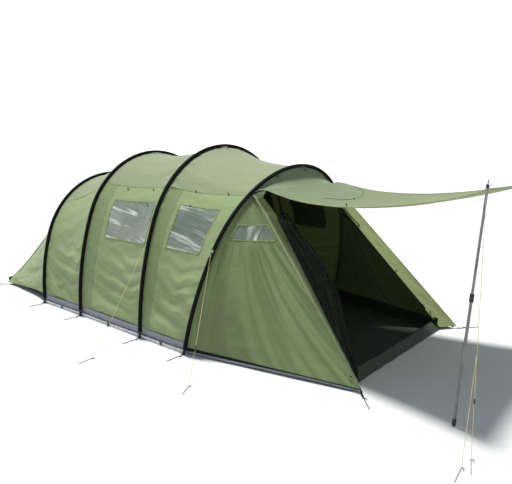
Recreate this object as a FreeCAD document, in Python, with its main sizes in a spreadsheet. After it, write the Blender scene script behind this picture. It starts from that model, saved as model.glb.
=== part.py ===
"""Four-hoop tunnel tent with a raised front awning, built as separate pieces.

Frame: millimetres, +Z up, -Y is the door end, -X is the left side seen from inside the door.
The origin lies on the ground under the middle of the tent.
"""
import FreeCAD
import Part
import math
import os
from FreeCAD import Placement, Rotation, Vector

doc = FreeCAD.newDocument("tunnel_tent")
sheet = doc.addObject("Spreadsheet::Sheet", "dims")

# ---------------------------------------------------------------- driving dimensions
DIMENSIONS = {
    # the four hoops, numbered from the rear: foot station, half width, height, apex lean
    "hoop1_station": 2030, "hoop1_half_width": 1303, "hoop1_height": 1706, "hoop1_lean": 150,
    "hoop2_station": 1155, "hoop2_half_width": 1331, "hoop2_height": 2021, "hoop2_lean": 30,
    "hoop3_station": -85, "hoop3_half_width": 1401, "hoop3_height": 2100, "hoop3_lean": -30,
    "hoop4_station": -825, "hoop4_half_width": 1438, "hoop4_height": 1877, "hoop4_lean": -420,
    "leg_angle": 21,             # tilt at which a hoop's leg arc meets its crown arc
    "hoop_rise": 24,             # height of a pole's end above the ground
    "pole_diameter": 12.7, "sleeve_diameter": 34, "sleeve_wall": 1.2, "sleeve_bottom": 70,
    "ferrule_diameter": 15.5, "ferrule_length": 110, "section_length": 640,
    # fabric skin, hung inside the hoops
    "skin_offset": 22, "skin_thickness": 4, "eave_angle": 44, "hem_height": 115, "seam_gap": 1,
    # ground line
    "valance_bottom": 34, "valance_thickness": 2.5,
    "strap_width": 30, "strap_thickness": 2,
    "rear_station": 3458, "rear_half_width": 1090,
    "front_station": -2683, "front_half_width": 1118,
    # doorway: jamb foot, waist and head, and the fold beside it
    "jamb_foot_station": -2550, "jamb_foot_half_width": 945,
    "jamb_waist_station": -1370, "jamb_waist_half_width": 600, "jamb_waist_height": 1400,
    "jamb_head_station": -1285, "jamb_head_half_width": 712, "jamb_head_height": 1585,
    "fold_head_station": -1262, "fold_head_half_width": 800, "fold_head_height": 1560,
    "sill_height": 120,
    # side windows
    "window_bottom": 1020, "window_top": 1475,
    "window_mid_front": 0, "window_mid_rear": 850,
    "window_front_front": -880, "window_front_rear": -345,
    "vestibule_window_bottom": 1185, "vestibule_window_top": 1330, "vestibule_window_margin": 95,
    # awning: hinge line, lowest point of its sag, and hem
    "hinge_station": -1345, "hinge_height": 1652, "hinge_half_width": 735,
    "sag_station": -2255, "sag_height": 1575,
    "awning_hem_station": -3612, "awning_hem_height": 1795, "awning_hem_half_width": 1135,
    # awning poles
    "prop_foot_station": -3499, "prop_foot_half_width": 1175, "prop_lean_angle": 4.2,
    "prop_diameter": 22, "prop_wall": 1.2, "prop_inner_diameter": 19,
    "prop_lower_length": 1000, "prop_upper_length": 1100, "prop_height": 1806,
    "prop_foot_diameter": 30, "spike_diameter": 7, "spike_length": 29,
    # groundsheet and inner tent
    "sheet_thickness": 4, "groundsheet_inset": 55, "groundsheet_rear": 1080,
    "inner_front_station": 1110, "inner_rear_station": 3160, "inner_height": 1590,
    "inner_inset": 95, "inner_wall_thickness": 4, "inner_shoulder_share": 0.84,
    # gathered mesh door at the left jamb
    "mesh_roll_diameter": 90,
    # pegs and guy lines
    "peg_diameter": 6, "peg_length": 180, "peg_hook_radius": 9,
    "guy_diameter": 3.5, "guy_height": 1050,
    "guy3_peg_x": -2078, "guy3_peg_station": -192,
    "guy4_peg_x": -1936, "guy4_peg_station": -1423,
    "prop_peg_x": -1563, "prop_peg_station": -3760,
    "prop_peg2_x": -1704, "prop_peg2_station": -3745,
}
for row, (alias, value) in enumerate(DIMENSIONS.items(), start=1):
    sheet.set("A%d" % row, alias)
    sheet.set("B%d" % row, str(value))
    sheet.setAlias("B%d" % row, alias)
doc.recompute()


def dim(alias):
    """Read one driving dimension from the sheet."""
    return float(getattr(sheet, alias))


HOOP_NUMBERS = (1, 2, 3, 4)
SIDES = {"left": -1, "right": 1}
BAYS = {"rear": (1, 2), "mid": (2, 3), "front": (3, 4)}
EPS = dim("seam_gap")
NODES = []


def feature(label, shape):
    """Add a finished sub-part whose shape is built from sheet values."""
    item = doc.addObject("Part::Feature", label)
    item.Shape = shape
    item.Placement = shape.Placement
    item.Label = label
    NODES.append(item)
    return item


def keep(item, label):
    """Mark a parametric object as a finished sub-part."""
    item.Label = label
    NODES.append(item)
    return item


# ---------------------------------------------------------------- the arch of a hoop
class Arch:
    """A hoop's centre line: two leg arcs and one crown arc, tangent, in a leaning plane."""

    def __init__(self, station, half_width, height, lean):
        self.station = station
        self.half_width = half_width
        self.rise = math.hypot(height, lean)
        self.slope = math.atan2(lean, height)
        knee = math.radians(dim("leg_angle"))
        sine, cosine = math.sin(knee), math.cos(knee)
        # closure: both arcs together span the half width and the rise
        det = (1 - cosine) * (1 - sine) - cosine * sine
        self.leg_radius = (half_width * (1 - sine) - self.rise * cosine) / det
        self.crown_radius = (self.rise * (1 - cosine) - half_width * sine) / det
        self.knee = knee

    def flat(self, side, tilt, inset=0.0):
        """Point at a tilt angle, in the hoop's own plane: (x, distance up the plane)."""
        if tilt <= self.knee:
            radius = self.leg_radius - inset
            return (side * (self.half_width - self.leg_radius + radius * math.cos(tilt)),
                    radius * math.sin(tilt))
        radius = self.crown_radius - inset
        return (side * radius * math.cos(tilt),
                self.rise - self.crown_radius + radius * math.sin(tilt))

    def point(self, side, tilt, inset=0.0, shift=0.0):
        x, up = self.flat(side, tilt, inset)
        return Vector(x, self.station + shift + up * math.sin(self.slope),
                      up * math.cos(self.slope))

    def tilt_at(self, height, inset=0.0):
        """Tilt angle at which the arch passes a height above the ground."""
        up = height / math.cos(self.slope)
        sine = up / (self.leg_radius - inset)
        if sine <= math.sin(self.knee):
            return math.asin(sine)
        centre = self.rise - self.crown_radius
        return math.asin(min(1.0, (up - centre) / (self.crown_radius - inset)))

    def arc(self, side, start, end, inset=0.0, shift=0.0):
        """One circular edge between two tilt angles on one side."""
        middle = (start + end) / 2
        return Part.Arc(self.point(side, start, inset, shift), self.point(side, middle, inset, shift),
                        self.point(side, end, inset, shift)).toShape()

    def crown(self, left_tilt, right_tilt, inset=0.0, shift=0.0):
        """The circular edge over the top, from a left tilt to a right tilt."""
        return Part.Arc(self.point(-1, left_tilt, inset, shift),
                        self.point(1, math.pi / 2, inset, shift),
                        self.point(1, right_tilt, inset, shift)).toShape()


ARCHES = {}
for number in HOOP_NUMBERS:
    name = "hoop%d" % number
    ARCHES[number] = Arch(dim(name + "_station"), dim(name + "_half_width"),
                          dim(name + "_height"), dim(name + "_lean"))


def tube_along(path, start_point, direction, diameter):
    """Solid rod swept along a wire."""
    circle = Part.Wire(Part.makeCircle(diameter / 2, start_point, direction))
    return path.makePipeShell([circle], True, False)


def hoop_path(arch, first_tilt, last_tilt, side=None):
    """Wire of a hoop: whole when side is None, else one side from first to last tilt."""
    knee = arch.knee
    if side is None:
        edges = [arch.arc(-1, first_tilt, knee), arch.crown(knee, knee), arch.arc(1, knee, last_tilt)]
        return Part.Wire(edges)
    if last_tilt <= knee or first_tilt >= knee:
        return Part.Wire([arch.arc(side, first_tilt, last_tilt)])
    return Part.Wire([arch.arc(side, first_tilt, knee), arch.arc(side, knee, last_tilt)])


def sweep_round(wire, diameter):
    """Round rod or tube blank along a wire, its end faces square to the wire."""
    edge = wire.Edges[0]
    at_start = wire.Vertexes[0].Point
    parameter = edge.FirstParameter
    tangent = edge.tangentAt(parameter)
    if edge.valueAt(parameter).distanceToPoint(at_start) > 0.01:
        parameter = edge.LastParameter
        tangent = edge.tangentAt(parameter).negative()
    return tube_along(wire, at_start, tangent, diameter)


# ---------------------------------------------------------------- hoops
FERRULES = []
SLEEVES = []
for number, arch in ARCHES.items():
    foot_tilt = arch.tilt_at(dim("hoop_rise"))
    pole = sweep_round(hoop_path(arch, foot_tilt, foot_tilt), dim("pole_diameter"))
    feature("hoop_pole_%d" % number, pole)

    # ferrules join the pole sections; they sit in pairs either side of the crown
    half_length = arch.leg_radius * arch.knee + arch.crown_radius * (math.pi / 2 - arch.knee)
    joints = int(half_length // dim("section_length"))
    for side in (-1, 1):
        for index in range(joints):
            along = half_length - (index + 0.5) * dim("section_length")
            leg_length = arch.leg_radius * arch.knee
            if along < leg_length:
                middle = along / arch.leg_radius
                radius = arch.leg_radius
            else:
                middle = arch.knee + (along - leg_length) / arch.crown_radius
                radius = arch.crown_radius
            half = dim("ferrule_length") / 2 / radius
            if abs(middle - arch.knee) < half * 1.1:
                middle += half * 1.2
            path = hoop_path(arch, middle - half, middle + half, side)
            ring = sweep_round(path, dim("ferrule_diameter"))
            FERRULES.append(ring.cut(sweep_round(path, dim("pole_diameter") + 0.2)))

    # sleeves: whole on hoops 1 to 3; the front one is open at two gaps on each leg
    bottom = arch.tilt_at(dim("sleeve_bottom"))
    inner = dim("sleeve_diameter") - 2 * dim("sleeve_wall")
    if number < 4:
        spans = [hoop_path(arch, bottom, bottom)]
    else:
        gap = arch.tilt_at(1010), arch.tilt_at(1075)
        spans = [hoop_path(arch, bottom, gap[0], -1), hoop_path(arch, bottom, gap[0], 1),
                 Part.Wire([arch.crown(gap[1], gap[1])])]
    for span in spans:
        SLEEVES.append(sweep_round(span, dim("sleeve_diameter")).cut(sweep_round(span, inner)))
feature("pole_ferrules", Part.makeCompound(FERRULES))
feature("hoop_sleeves", Part.makeCompound(SLEEVES))

# boots: a round cup under each pole end, with a ring for its peg
BOOT_RADIUS = 14
BOOT_HEIGHT = 60
RING_RADIUS = 11
RING_WIRE = 2.2
LUG_HEIGHT = 9.0
BOOTS = []
for arch in ARCHES.values():
    for side in (-1, 1):
        # the cup leans with the pole and is cut off level with the ground
        foot_tilt = arch.tilt_at(dim("hoop_rise"))
        pole_end = arch.point(side, foot_tilt)
        direction = (arch.point(side, foot_tilt + 0.001) - pole_end).normalize()
        cup = Part.makeCylinder(BOOT_RADIUS, 2 * BOOT_HEIGHT, pole_end - direction * BOOT_HEIGHT, direction)
        bore = Part.makeCylinder(dim("pole_diameter") / 2 + 0.6, 2 * BOOT_HEIGHT,
                                 pole_end - direction * 0.5, direction)
        ground = Part.makeBox(400, 400, 200, Vector(pole_end.x - 200, pole_end.y - 200, -200))
        cup = cup.cut(bore).cut(ground)
        foot = arch.point(side, arch.tilt_at(LUG_HEIGHT))
        lug = Part.makeBox(8, 14, 14, Vector(BOOT_RADIUS - 1, -7, LUG_HEIGHT - 5))
        eye = Part.makeCylinder(3, 20, Vector(BOOT_RADIUS + 3.5, -10, LUG_HEIGHT), Vector(0, 1, 0))
        ring_centre = Vector(BOOT_RADIUS + 3.5 + RING_RADIUS, 0, LUG_HEIGHT)
        ring = Part.makeTorus(RING_RADIUS, RING_WIRE, ring_centre)
        for shape in (lug, eye, ring):
            if side < 0:
                shape.rotate(Vector(0, 0, 0), Vector(0, 0, 1), 180)
            shape.translate(Vector(foot.x, foot.y, 0))
        BOOTS.append(cup.fuse(lug.cut(bore)).cut(eye).Solids[0])
        BOOTS.append(ring)
feature("hoop_feet", Part.makeCompound(BOOTS))


# ---------------------------------------------------------------- fabric between the hoops
def closed_strip(outer, inner):
    """Closed wire of a thin band: outer edges forward, inner edges back, two end lines."""
    first_out = outer[0].Vertexes[0].Point
    last_out = outer[-1].Vertexes[-1].Point
    first_in = inner[0].Vertexes[0].Point
    last_in = inner[-1].Vertexes[-1].Point
    lines = [Part.makeLine(last_out, last_in), Part.makeLine(first_in, first_out)]
    return Part.Wire(Part.sortEdges(outer + [lines[0]] + list(reversed(inner)) + [lines[1]])[0])


def wall_edges(arch, side, inset, shift, low, high):
    return [arch.arc(side, low, arch.knee, inset, shift), arch.arc(side, arch.knee, high, inset, shift)]


def wall_section(arch, side, shift, inset, thickness, low_height, high_tilt):
    """Thin band that follows one hoop's leg and shoulder on one side."""
    low = arch.tilt_at(low_height, inset)
    outer = wall_edges(arch, side, inset, shift, low, high_tilt)
    inner = wall_edges(arch, side, inset + thickness, shift, low, high_tilt)
    return closed_strip(outer, inner)


def roof_section(arch, shift, inset, thickness, low_tilt):
    outer = [arch.crown(low_tilt, low_tilt, inset, shift)]
    inner = [arch.crown(low_tilt, low_tilt, inset + thickness, shift)]
    return closed_strip(outer, inner)


def ruled(first, second):
    """Solid between two closed wires, straight from one to the other."""
    solid = Part.makeLoft([first, second], True, True)
    return solid if solid.Volume > 0 else solid.reversed()


EAVE = math.radians(dim("eave_angle"))
SEAM_ANGLE = math.radians(0.05)
SKIN = dim("skin_offset")
CLOTH = dim("skin_thickness")


def bay_wall(rear, front, side, inset=SKIN, thickness=CLOTH, low=None, high=EAVE - SEAM_ANGLE):
    low = dim("hem_height") if low is None else low
    return ruled(wall_section(ARCHES[rear], side, -EPS, inset, thickness, low, high),
                 wall_section(ARCHES[front], side, EPS, inset, thickness, low, high))


def window_block(corners, side, clearance=0.0):
    """Block through one side wall whose outline is given as (y, z) corners."""
    points = [Vector(0, y, z) for y, z in corners]
    outline = Part.makePolygon(points + points[:1])
    if clearance:
        outline = outline.makeOffset2D(-clearance)
    return Part.Face(outline).extrude(Vector(side * 2000, 0, 0))


def rectangle(front_y, rear_y, bottom, top):
    return [(front_y, bottom), (rear_y, bottom), (rear_y, top), (front_y, top)]


WINDOWS = {"left": [], "right": []}
for bay, (rear, front) in BAYS.items():
    for side_name, side in SIDES.items():
        wall = bay_wall(rear, front, side)
        if bay != "rear":
            opening = rectangle(dim("window_%s_front" % bay), dim("window_%s_rear" % bay),
                                dim("window_bottom"), dim("window_top"))
            pane = wall.common(window_block(opening, side, EPS / 2))
            wall = wall.cut(window_block(opening, side))
            WINDOWS[side_name].extend(pane.Solids)
        feature("wall_panel_%s_%s" % (bay, side_name), wall.Solids[0])
    roof = ruled(roof_section(ARCHES[rear], -EPS, SKIN, CLOTH, EAVE),
                 roof_section(ARCHES[front], EPS, SKIN, CLOTH, EAVE))
    feature("roof_panel_%s" % bay, roof)


def straight(start, end, pieces=1):
    """Straight run of equal line edges."""
    step = (end - start) / pieces
    return [Part.makeLine(start + step * index, start + step * (index + 1)) for index in range(pieces)]


def polyline(points):
    return [Part.makeLine(first, second) for first, second in zip(points, points[1:])]


def triangles(a, b, c, d):
    """Two flat faces that fill the four-cornered patch a, b, c, d."""
    return [Part.Face(Part.makePolygon([a, b, c, a])), Part.Face(Part.makePolygon([a, c, d, a]))]


def faceted_panel(first_outer, first_inner, second_outer, second_inner):
    """Thin solid between two rows of points, each row given on its outer and inner side."""
    faces = []
    for index in range(len(first_outer) - 1):
        step = index + 1
        faces += triangles(first_outer[index], first_outer[step], second_outer[step], second_outer[index])
        faces += triangles(first_inner[index], second_inner[index], second_inner[step], first_inner[step])
        faces += triangles(first_outer[index], first_inner[index], first_inner[step], first_outer[step])
        faces += triangles(second_outer[index], second_outer[step], second_inner[step], second_inner[index])
    faces += triangles(first_outer[0], second_outer[0], second_inner[0], first_inner[0])
    faces += triangles(first_outer[-1], first_inner[-1], second_inner[-1], second_outer[-1])
    solid = Part.makeSolid(Part.makeShell(faces))
    return solid if solid.Volume > 0 else solid.reversed()


# rear end: a slope down from the crown, and a gusset from each leg to the rear corner
REAR_EDGE_HEIGHT = 110
rear_arch = ARCHES[1]


def rear_band(low_x, high_x):
    """Thin strip along the rear edge, from one x to another."""
    station = dim("rear_station")
    outer = straight(Vector(low_x, station, REAR_EDGE_HEIGHT), Vector(high_x, station, REAR_EDGE_HEIGHT))
    inner = straight(Vector(low_x, station - CLOTH, REAR_EDGE_HEIGHT - CLOTH / 2),
                     Vector(high_x, station - CLOTH, REAR_EDGE_HEIGHT - CLOTH / 2))
    return closed_strip(outer, inner)


CORNER_WIDTH = 90
GUSSET_STEPS = 8
rear_inner_x = dim("rear_half_width") - CORNER_WIDTH
feature("rear_slope_panel", ruled(roof_section(rear_arch, EPS, SKIN, CLOTH, EAVE),
                                  rear_band(-rear_inner_x, rear_inner_x)))
for side_name, side in SIDES.items():
    station = dim("rear_station")
    low = rear_arch.tilt_at(dim("hem_height"), SKIN)
    high = EAVE - 4 * SEAM_ANGLE
    tilts = [low + (high - low) * index / GUSSET_STEPS for index in range(GUSSET_STEPS + 1)]
    corner_low = Vector(side * dim("rear_half_width"), station, dim("valance_bottom"))
    corner_high = Vector(side * (rear_inner_x + 4 * EPS), station, REAR_EDGE_HEIGHT)
    corner = [corner_low + (corner_high - corner_low) * index / GUSSET_STEPS
              for index in range(GUSSET_STEPS + 1)]
    back = Vector(-side * CLOTH * 0.6, -CLOTH, -CLOTH * 0.6)
    gusset = faceted_panel([rear_arch.point(side, tilt, SKIN, EPS) for tilt in tilts],
                           [rear_arch.point(side, tilt, SKIN + CLOTH, EPS) for tilt in tilts],
                           corner, [point + back for point in corner])
    feature("rear_gusset_%s" % side_name, gusset)

# ---------------------------------------------------------------- vestibule at the door end
front_arch = ARCHES[4]
HOOP_CORNER = front_arch.tilt_at(dim("fold_head_height") + 40, SKIN)


def named_point(name, side, height=None):
    return Vector(side * dim(name + "_half_width"), dim(name + "_station"),
                  dim(name + "_height") if height is None else height)


FOLD_SHARE = 0.86
STRIP_STEPS = 7
STRIP_GAP = 5


def fold_point(side, share):
    """Point on the fold beside the doorway, at a share of its length from the ground."""
    foot = named_point("front", side, dim("valance_bottom"))
    return foot + (named_point("fold_head", side) - foot) * share


def jamb_point(side, share):
    foot = named_point("jamb_foot", side, dim("valance_bottom"))
    return foot + (named_point("jamb_waist", side) - foot) * share


def strip_point(side, share, reach, lift):
    """Point on the front strip: a share up the jamb, a reach in from its edge, lifted off it."""
    jamb = jamb_point(side, share)
    across = (fold_point(side, share * FOLD_SHARE) - jamb).normalize()
    along = (named_point("jamb_waist", side) - named_point("jamb_foot", side, 0)).normalize()
    normal = along.cross(across).normalize()
    if normal.y > 0:
        normal = normal.negative()
    return jamb + across * reach + normal * lift


def fold_y(height):
    """Station of the fold at a height."""
    low, high = fold_point(1, 0), fold_point(1, 1)
    return low.y + (high.y - low.y) * (height - low.z) / (high.z - low.z)


window_low = dim("vestibule_window_bottom")
window_high = dim("vestibule_window_top")
window_margin = dim("vestibule_window_margin")
FOLD_MARGIN = 28
for side_name, side in SIDES.items():
    fold = [fold_point(side, 0), fold_point(side, 0.45), fold_point(side, 1)]
    inward = Vector(-side * CLOTH, 0, 0)
    leg = wall_section(front_arch, side, -EPS, SKIN, CLOTH, dim("hem_height"), HOOP_CORNER)
    panel = ruled(leg, closed_strip(polyline(fold), polyline([point + inward for point in fold])))
    hoop_y = [front_arch.point(side, front_arch.tilt_at(height)).y for height in (window_low, window_high)]
    band = [(fold_y(window_low) + FOLD_MARGIN, window_low), (hoop_y[0] - window_margin, window_low),
            (hoop_y[1] - window_margin, window_high), (fold_y(window_high) + FOLD_MARGIN, window_high)]
    WINDOWS[side_name].extend(panel.common(window_block(band, side, EPS / 2)).Solids)
    feature("vestibule_side_%s" % side_name, panel.cut(window_block(band, side)).Solids[0])

    # front strip between the fold and the jamb
    gap = Vector(-side * STRIP_GAP, -EPS, 0)
    shares = [index / STRIP_STEPS for index in range(STRIP_STEPS + 1)]
    jamb = [jamb_point(side, share) for share in shares] + [named_point("jamb_head", side)]
    edge = [fold_point(side, share * FOLD_SHARE) + gap for share in shares] + [fold_point(side, 1) + gap]
    behind = Vector(0, CLOTH * 0.77, -CLOTH * 0.64)
    strip = faceted_panel(edge, [point + behind for point in edge],
                          jamb, [point + behind for point in jamb])
    feature("vestibule_front_%s" % side_name, strip)
for side_name in SIDES:
    feature("windows_%s" % side_name, Part.makeCompound(WINDOWS[side_name]))

# header: from the front hoop's crown down to the awning's hinge line
HINGE_GAP = 6
hinge_left = Vector(-dim("hinge_half_width"), dim("hinge_station") + HINGE_GAP, dim("hinge_height"))
hinge_right = Vector(dim("hinge_half_width"), dim("hinge_station") + HINGE_GAP, dim("hinge_height"))
drop = Vector(0, CLOTH * 0.5, -CLOTH)
header_low = closed_strip(straight(hinge_left, hinge_right),
                          straight(hinge_left + drop, hinge_right + drop))
feature("header_panel", ruled(roof_section(front_arch, -EPS, SKIN, CLOTH, HOOP_CORNER + SEAM_ANGLE),
                              header_low))

# ---------------------------------------------------------------- awning (the raised door)
def arc_band(thickness):
    """Sagging side profile of the awning, in the YZ plane, as a closed face."""
    profile = [Vector(0, dim("hinge_station") - HINGE_GAP, dim("hinge_height")),
               Vector(0, dim("sag_station"), dim("sag_height")),
               Vector(0, dim("awning_hem_station"), dim("awning_hem_height"))]
    lower = [point - Vector(0, 0, thickness) for point in profile]
    top = Part.Arc(*profile).toShape()
    bottom = Part.Arc(*lower).toShape()
    ends = [Part.makeLine(profile[2], lower[2]), Part.makeLine(lower[0], profile[0])]
    return Part.Face(Part.Wire(Part.sortEdges([top, ends[0], bottom, ends[1]])[0]))


def plan_block(bottom, height):
    """Tapering plan of the awning as a block."""
    overrun = 50
    rear = dim("hinge_station") + overrun
    front = dim("awning_hem_station") - overrun
    slope = ((dim("awning_hem_half_width") - dim("hinge_half_width"))
             / (dim("hinge_station") - dim("awning_hem_station")))
    rear_x = dim("hinge_half_width") - overrun * slope
    front_x = dim("awning_hem_half_width") + overrun * slope
    corners = [Vector(-rear_x, rear, bottom), Vector(rear_x, rear, bottom),
               Vector(front_x, front, bottom), Vector(-front_x, front, bottom)]
    return Part.Face(Part.makePolygon(corners + corners[:1])).extrude(Vector(0, 0, height))


reach = 1300
awning = arc_band(CLOTH).extrude(Vector(2 * reach, 0, 0))
awning.translate(Vector(-reach, 0, 0))
feature("awning_panel", awning.common(plan_block(1000, 1200)).Solids[0])

# hem bar: a stiff webbing along the awning's front edge
HEM_DEPTH = 28
HEM_SHORT = 15
HEM_DROP = 20
hem = Part.makeBox(2 * (dim("awning_hem_half_width") - HEM_SHORT), HEM_DEPTH, CLOTH,
                   Vector(-dim("awning_hem_half_width") + HEM_SHORT, dim("awning_hem_station") + 4,
                          dim("awning_hem_height") - CLOTH - HEM_DROP))
feature("awning_hem", hem)

# ---------------------------------------------------------------- awning props
PROP_LEAN = dim("prop_lean_angle")
FOOT_CENTRE_HEIGHT = dim("prop_foot_diameter") / 2


def bound_cylinder(name, radius, height, base_z):
    """Part::Cylinder whose size follows the sheet."""
    cylinder = doc.addObject("Part::Cylinder", name)
    cylinder.setExpression("Radius", radius)
    cylinder.setExpression("Height", height)
    cylinder.Placement.Base = Vector(0, 0, base_z)
    return cylinder


def cut_of(name, base, tool):
    item = doc.addObject("Part::Cut", name)
    item.Base = base
    item.Tool = tool
    return item


def fuse_of(name, parts):
    item = doc.addObject("Part::MultiFuse", name)
    item.Shapes = parts
    return item


def prop_placement(side):
    """Foot point of a prop, and its forward lean."""
    foot = Vector(side * dim("prop_foot_half_width"), dim("prop_foot_station"), FOOT_CENTRE_HEIGHT)
    return Placement(foot, Rotation(Vector(1, 0, 0), PROP_LEAN))


FOOT_CAP_HEIGHT = 45
COLLAR_HEIGHT = 60
upper_base = dim("prop_height") - dim("prop_upper_length") - FOOT_CENTRE_HEIGHT
for side_name, side in SIDES.items():
    place = prop_placement(side)
    tag = side_name

    outer = bound_cylinder("lower_outer_" + tag, "dims.prop_diameter / 2", "dims.prop_lower_length", 6)
    bore = bound_cylinder("lower_bore_" + tag, "dims.prop_diameter / 2 - dims.prop_wall",
                          "dims.prop_lower_length + 20", 0)
    lower = cut_of("prop_tube_" + tag, outer, bore)
    lower.Placement = place
    keep(lower, "prop_lower_tube_%s" % tag)

    ball = doc.addObject("Part::Sphere", "foot_ball_" + tag)
    ball.setExpression("Radius", "dims.prop_foot_diameter / 2")
    cap_body = bound_cylinder("foot_body_" + tag, "dims.prop_foot_diameter / 2", str(FOOT_CAP_HEIGHT), 0)
    cap_blank = fuse_of("foot_blank_" + tag, [ball, cap_body])
    socket = bound_cylinder("foot_socket_" + tag, "dims.prop_diameter / 2 + 0.4",
                            str(FOOT_CAP_HEIGHT + 5), 5.5)
    cap = cut_of("foot_cap_" + tag, cap_blank, socket)
    cap.Placement = place

    collar_outer = bound_cylinder("collar_outer_" + tag, "dims.prop_diameter / 2 + 5",
                                  str(COLLAR_HEIGHT), dim("prop_lower_length") - 30)
    collar_wide = bound_cylinder("collar_wide_" + tag, "dims.prop_diameter / 2 + 0.3", "40",
                                 dim("prop_lower_length") - 33)
    collar_narrow = bound_cylinder("collar_narrow_" + tag, "dims.prop_inner_diameter / 2 + 0.4", "100",
                                   dim("prop_lower_length") - 35)
    hollow = fuse_of("collar_hollow_" + tag, [collar_wide, collar_narrow])
    collar = cut_of("collar_" + tag, collar_outer, hollow)
    collar.Placement = place
    fittings = doc.addObject("Part::Compound", "fittings_" + tag)
    fittings.Links = [cap, collar]
    keep(fittings, "prop_foot_and_collar_%s" % tag)

    inner = bound_cylinder("upper_outer_" + tag, "dims.prop_inner_diameter / 2",
                           "dims.prop_upper_length", upper_base)
    inner_bore = bound_cylinder("upper_bore_" + tag, "dims.prop_inner_diameter / 2 - dims.prop_wall",
                                "dims.prop_upper_length + 20", upper_base - 10)
    upper = cut_of("upper_tube_" + tag, inner, inner_bore)
    upper.Placement = place
    keep(upper, "prop_upper_tube_%s" % tag)
doc.recompute()

# head of each prop: a plug with a spike, and the webbing tab it holds up
TAB_THICKNESS = 2.5
TAB_WIDTH = 34
PLUG_DEPTH = 30
HEAD_HEIGHT = 40
SHOULDER_DIAMETER = 9
SHOULDER_TOP = 25
GUY_EYE_OUT = 17


def prop_head(side):
    top = dim("prop_height") - FOOT_CENTRE_HEIGHT
    plug = Part.makeCylinder(dim("prop_inner_diameter") / 2 - dim("prop_wall") - 0.1, PLUG_DEPTH + 5,
                             Vector(0, 0, top - PLUG_DEPTH))
    head = Part.makeCylinder(dim("prop_inner_diameter") / 2 + 1.5, HEAD_HEIGHT / 2, Vector(0, 0, top + 0.2))
    shoulder = Part.makeCylinder(SHOULDER_DIAMETER / 2, SHOULDER_TOP - 10, Vector(0, 0, top + 10))
    spike = Part.makeCylinder(dim("spike_diameter") / 2, dim("spike_length"),
                              Vector(0, 0, top + SHOULDER_TOP))
    tip = Part.makeSphere(dim("spike_diameter") / 2,
                          Vector(0, 0, top + SHOULDER_TOP + dim("spike_length")))
    lug = Part.makeBox(12, 6, 12, Vector(dim("prop_inner_diameter") / 2 - 1, -3, top + 4))
    eye = Part.makeCylinder(3, 20, Vector(GUY_EYE_OUT, -10, top + 10), Vector(0, 1, 0))
    shape = plug.fuse([head, shoulder, spike, tip, lug]).cut(eye).removeSplitter()
    if side < 0:
        shape.rotate(Vector(0, 0, 0), Vector(0, 0, 1), 180)
    return shape


def prop_tab(side):
    """Webbing tab: an eyelet over the spike, reaching towards the awning's corner."""
    level = dim("prop_height") - FOOT_CENTRE_HEIGHT + HEAD_HEIGHT / 2 + 0.7
    length = 34
    blank = Part.makeBox(length, TAB_WIDTH, TAB_THICKNESS, Vector(0, -TAB_WIDTH / 2, level))
    disc = Part.makeCylinder(TAB_WIDTH / 2, TAB_THICKNESS, Vector(0, 0, level))
    hole = Part.makeCylinder(SHOULDER_DIAMETER / 2 + 0.4, 20, Vector(0, 0, level - 5))
    shape = blank.fuse(disc).cut(hole).removeSplitter()
    if side > 0:
        shape.rotate(Vector(0, 0, 0), Vector(0, 0, 1), 180)
    return shape


for side_name, side in SIDES.items():
    pieces = []
    for shape in (prop_head(side), prop_tab(side)):
        shape.Placement = prop_placement(side).multiply(shape.Placement)
        pieces.append(shape)
    feature("prop_head_and_tab_%s" % side_name, Part.makeCompound(pieces))

# ---------------------------------------------------------------- door edge: zips, mesh roll, sill
ZIP_WIDTH = 16
ZIP_THICKNESS = 2


def box_on_axes(origin, first, second, third, sizes):
    """Box with one corner at origin and edges along three given unit vectors."""
    a, b, c = first * sizes[0], second * sizes[1], third * sizes[2]
    base = [origin, origin + a, origin + a + b, origin + b]
    face = Part.Face(Part.makePolygon(base + base[:1]))
    return face.extrude(c)


ZIP_CLEARANCE = 3
ZIP_EDGE = 6
ZIPS = []
for side in SIDES.values():
    shares = [index / STRIP_STEPS for index in range(1, STRIP_STEPS)] + [0.97]
    rows = []
    for reach in (ZIP_EDGE, ZIP_EDGE + ZIP_WIDTH):
        for lift in (ZIP_CLEARANCE + ZIP_THICKNESS, ZIP_CLEARANCE):
            rows.append([strip_point(side, share, reach, lift) for share in shares])
    ZIPS.append(faceted_panel(*rows))
feature("door_zip_tapes", Part.makeCompound(ZIPS))

SLIDER_SHARE = 0.16
SLIDER_LIFT = 8
for side_name, side in SIDES.items():
    start = strip_point(side, SLIDER_SHARE, ZIP_EDGE, ZIP_CLEARANCE + SLIDER_LIFT)
    along = (named_point("jamb_waist", side) - named_point("jamb_foot", side, 0)).normalize()
    across = strip_point(side, SLIDER_SHARE, 10, 0) - strip_point(side, SLIDER_SHARE, 0, 0)
    across = (across - along * across.dot(along)).normalize()
    normal = strip_point(side, SLIDER_SHARE, 0, 10) - strip_point(side, SLIDER_SHARE, 0, 0)
    normal = normal.normalize()
    slider_body = box_on_axes(start, along, across, normal, (32, 14, 6))
    pull = box_on_axes(start - along * 34 + across * 4 + normal * 1.5, along, across, normal, (40, 6, 2))
    feature("door_zip_slider_%s" % side_name, slider_body.fuse(pull).removeSplitter())

# gathered mesh door: a soft roll tied inside the left jamb
ROLL_START = 0.10
ROLL_END = 0.97
ROLL_TAPER = 0.7
roll_radius = dim("mesh_roll_diameter") / 2
roll_low = strip_point(-1, ROLL_START, roll_radius * 0.2, -(roll_radius + 20))
roll_high = strip_point(-1, ROLL_END, roll_radius * 0.2, -(roll_radius + 20))
mesh_roll = Part.makeCone(roll_radius, roll_radius * ROLL_TAPER, (roll_high - roll_low).Length,
                          roll_low, roll_high - roll_low)

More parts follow.
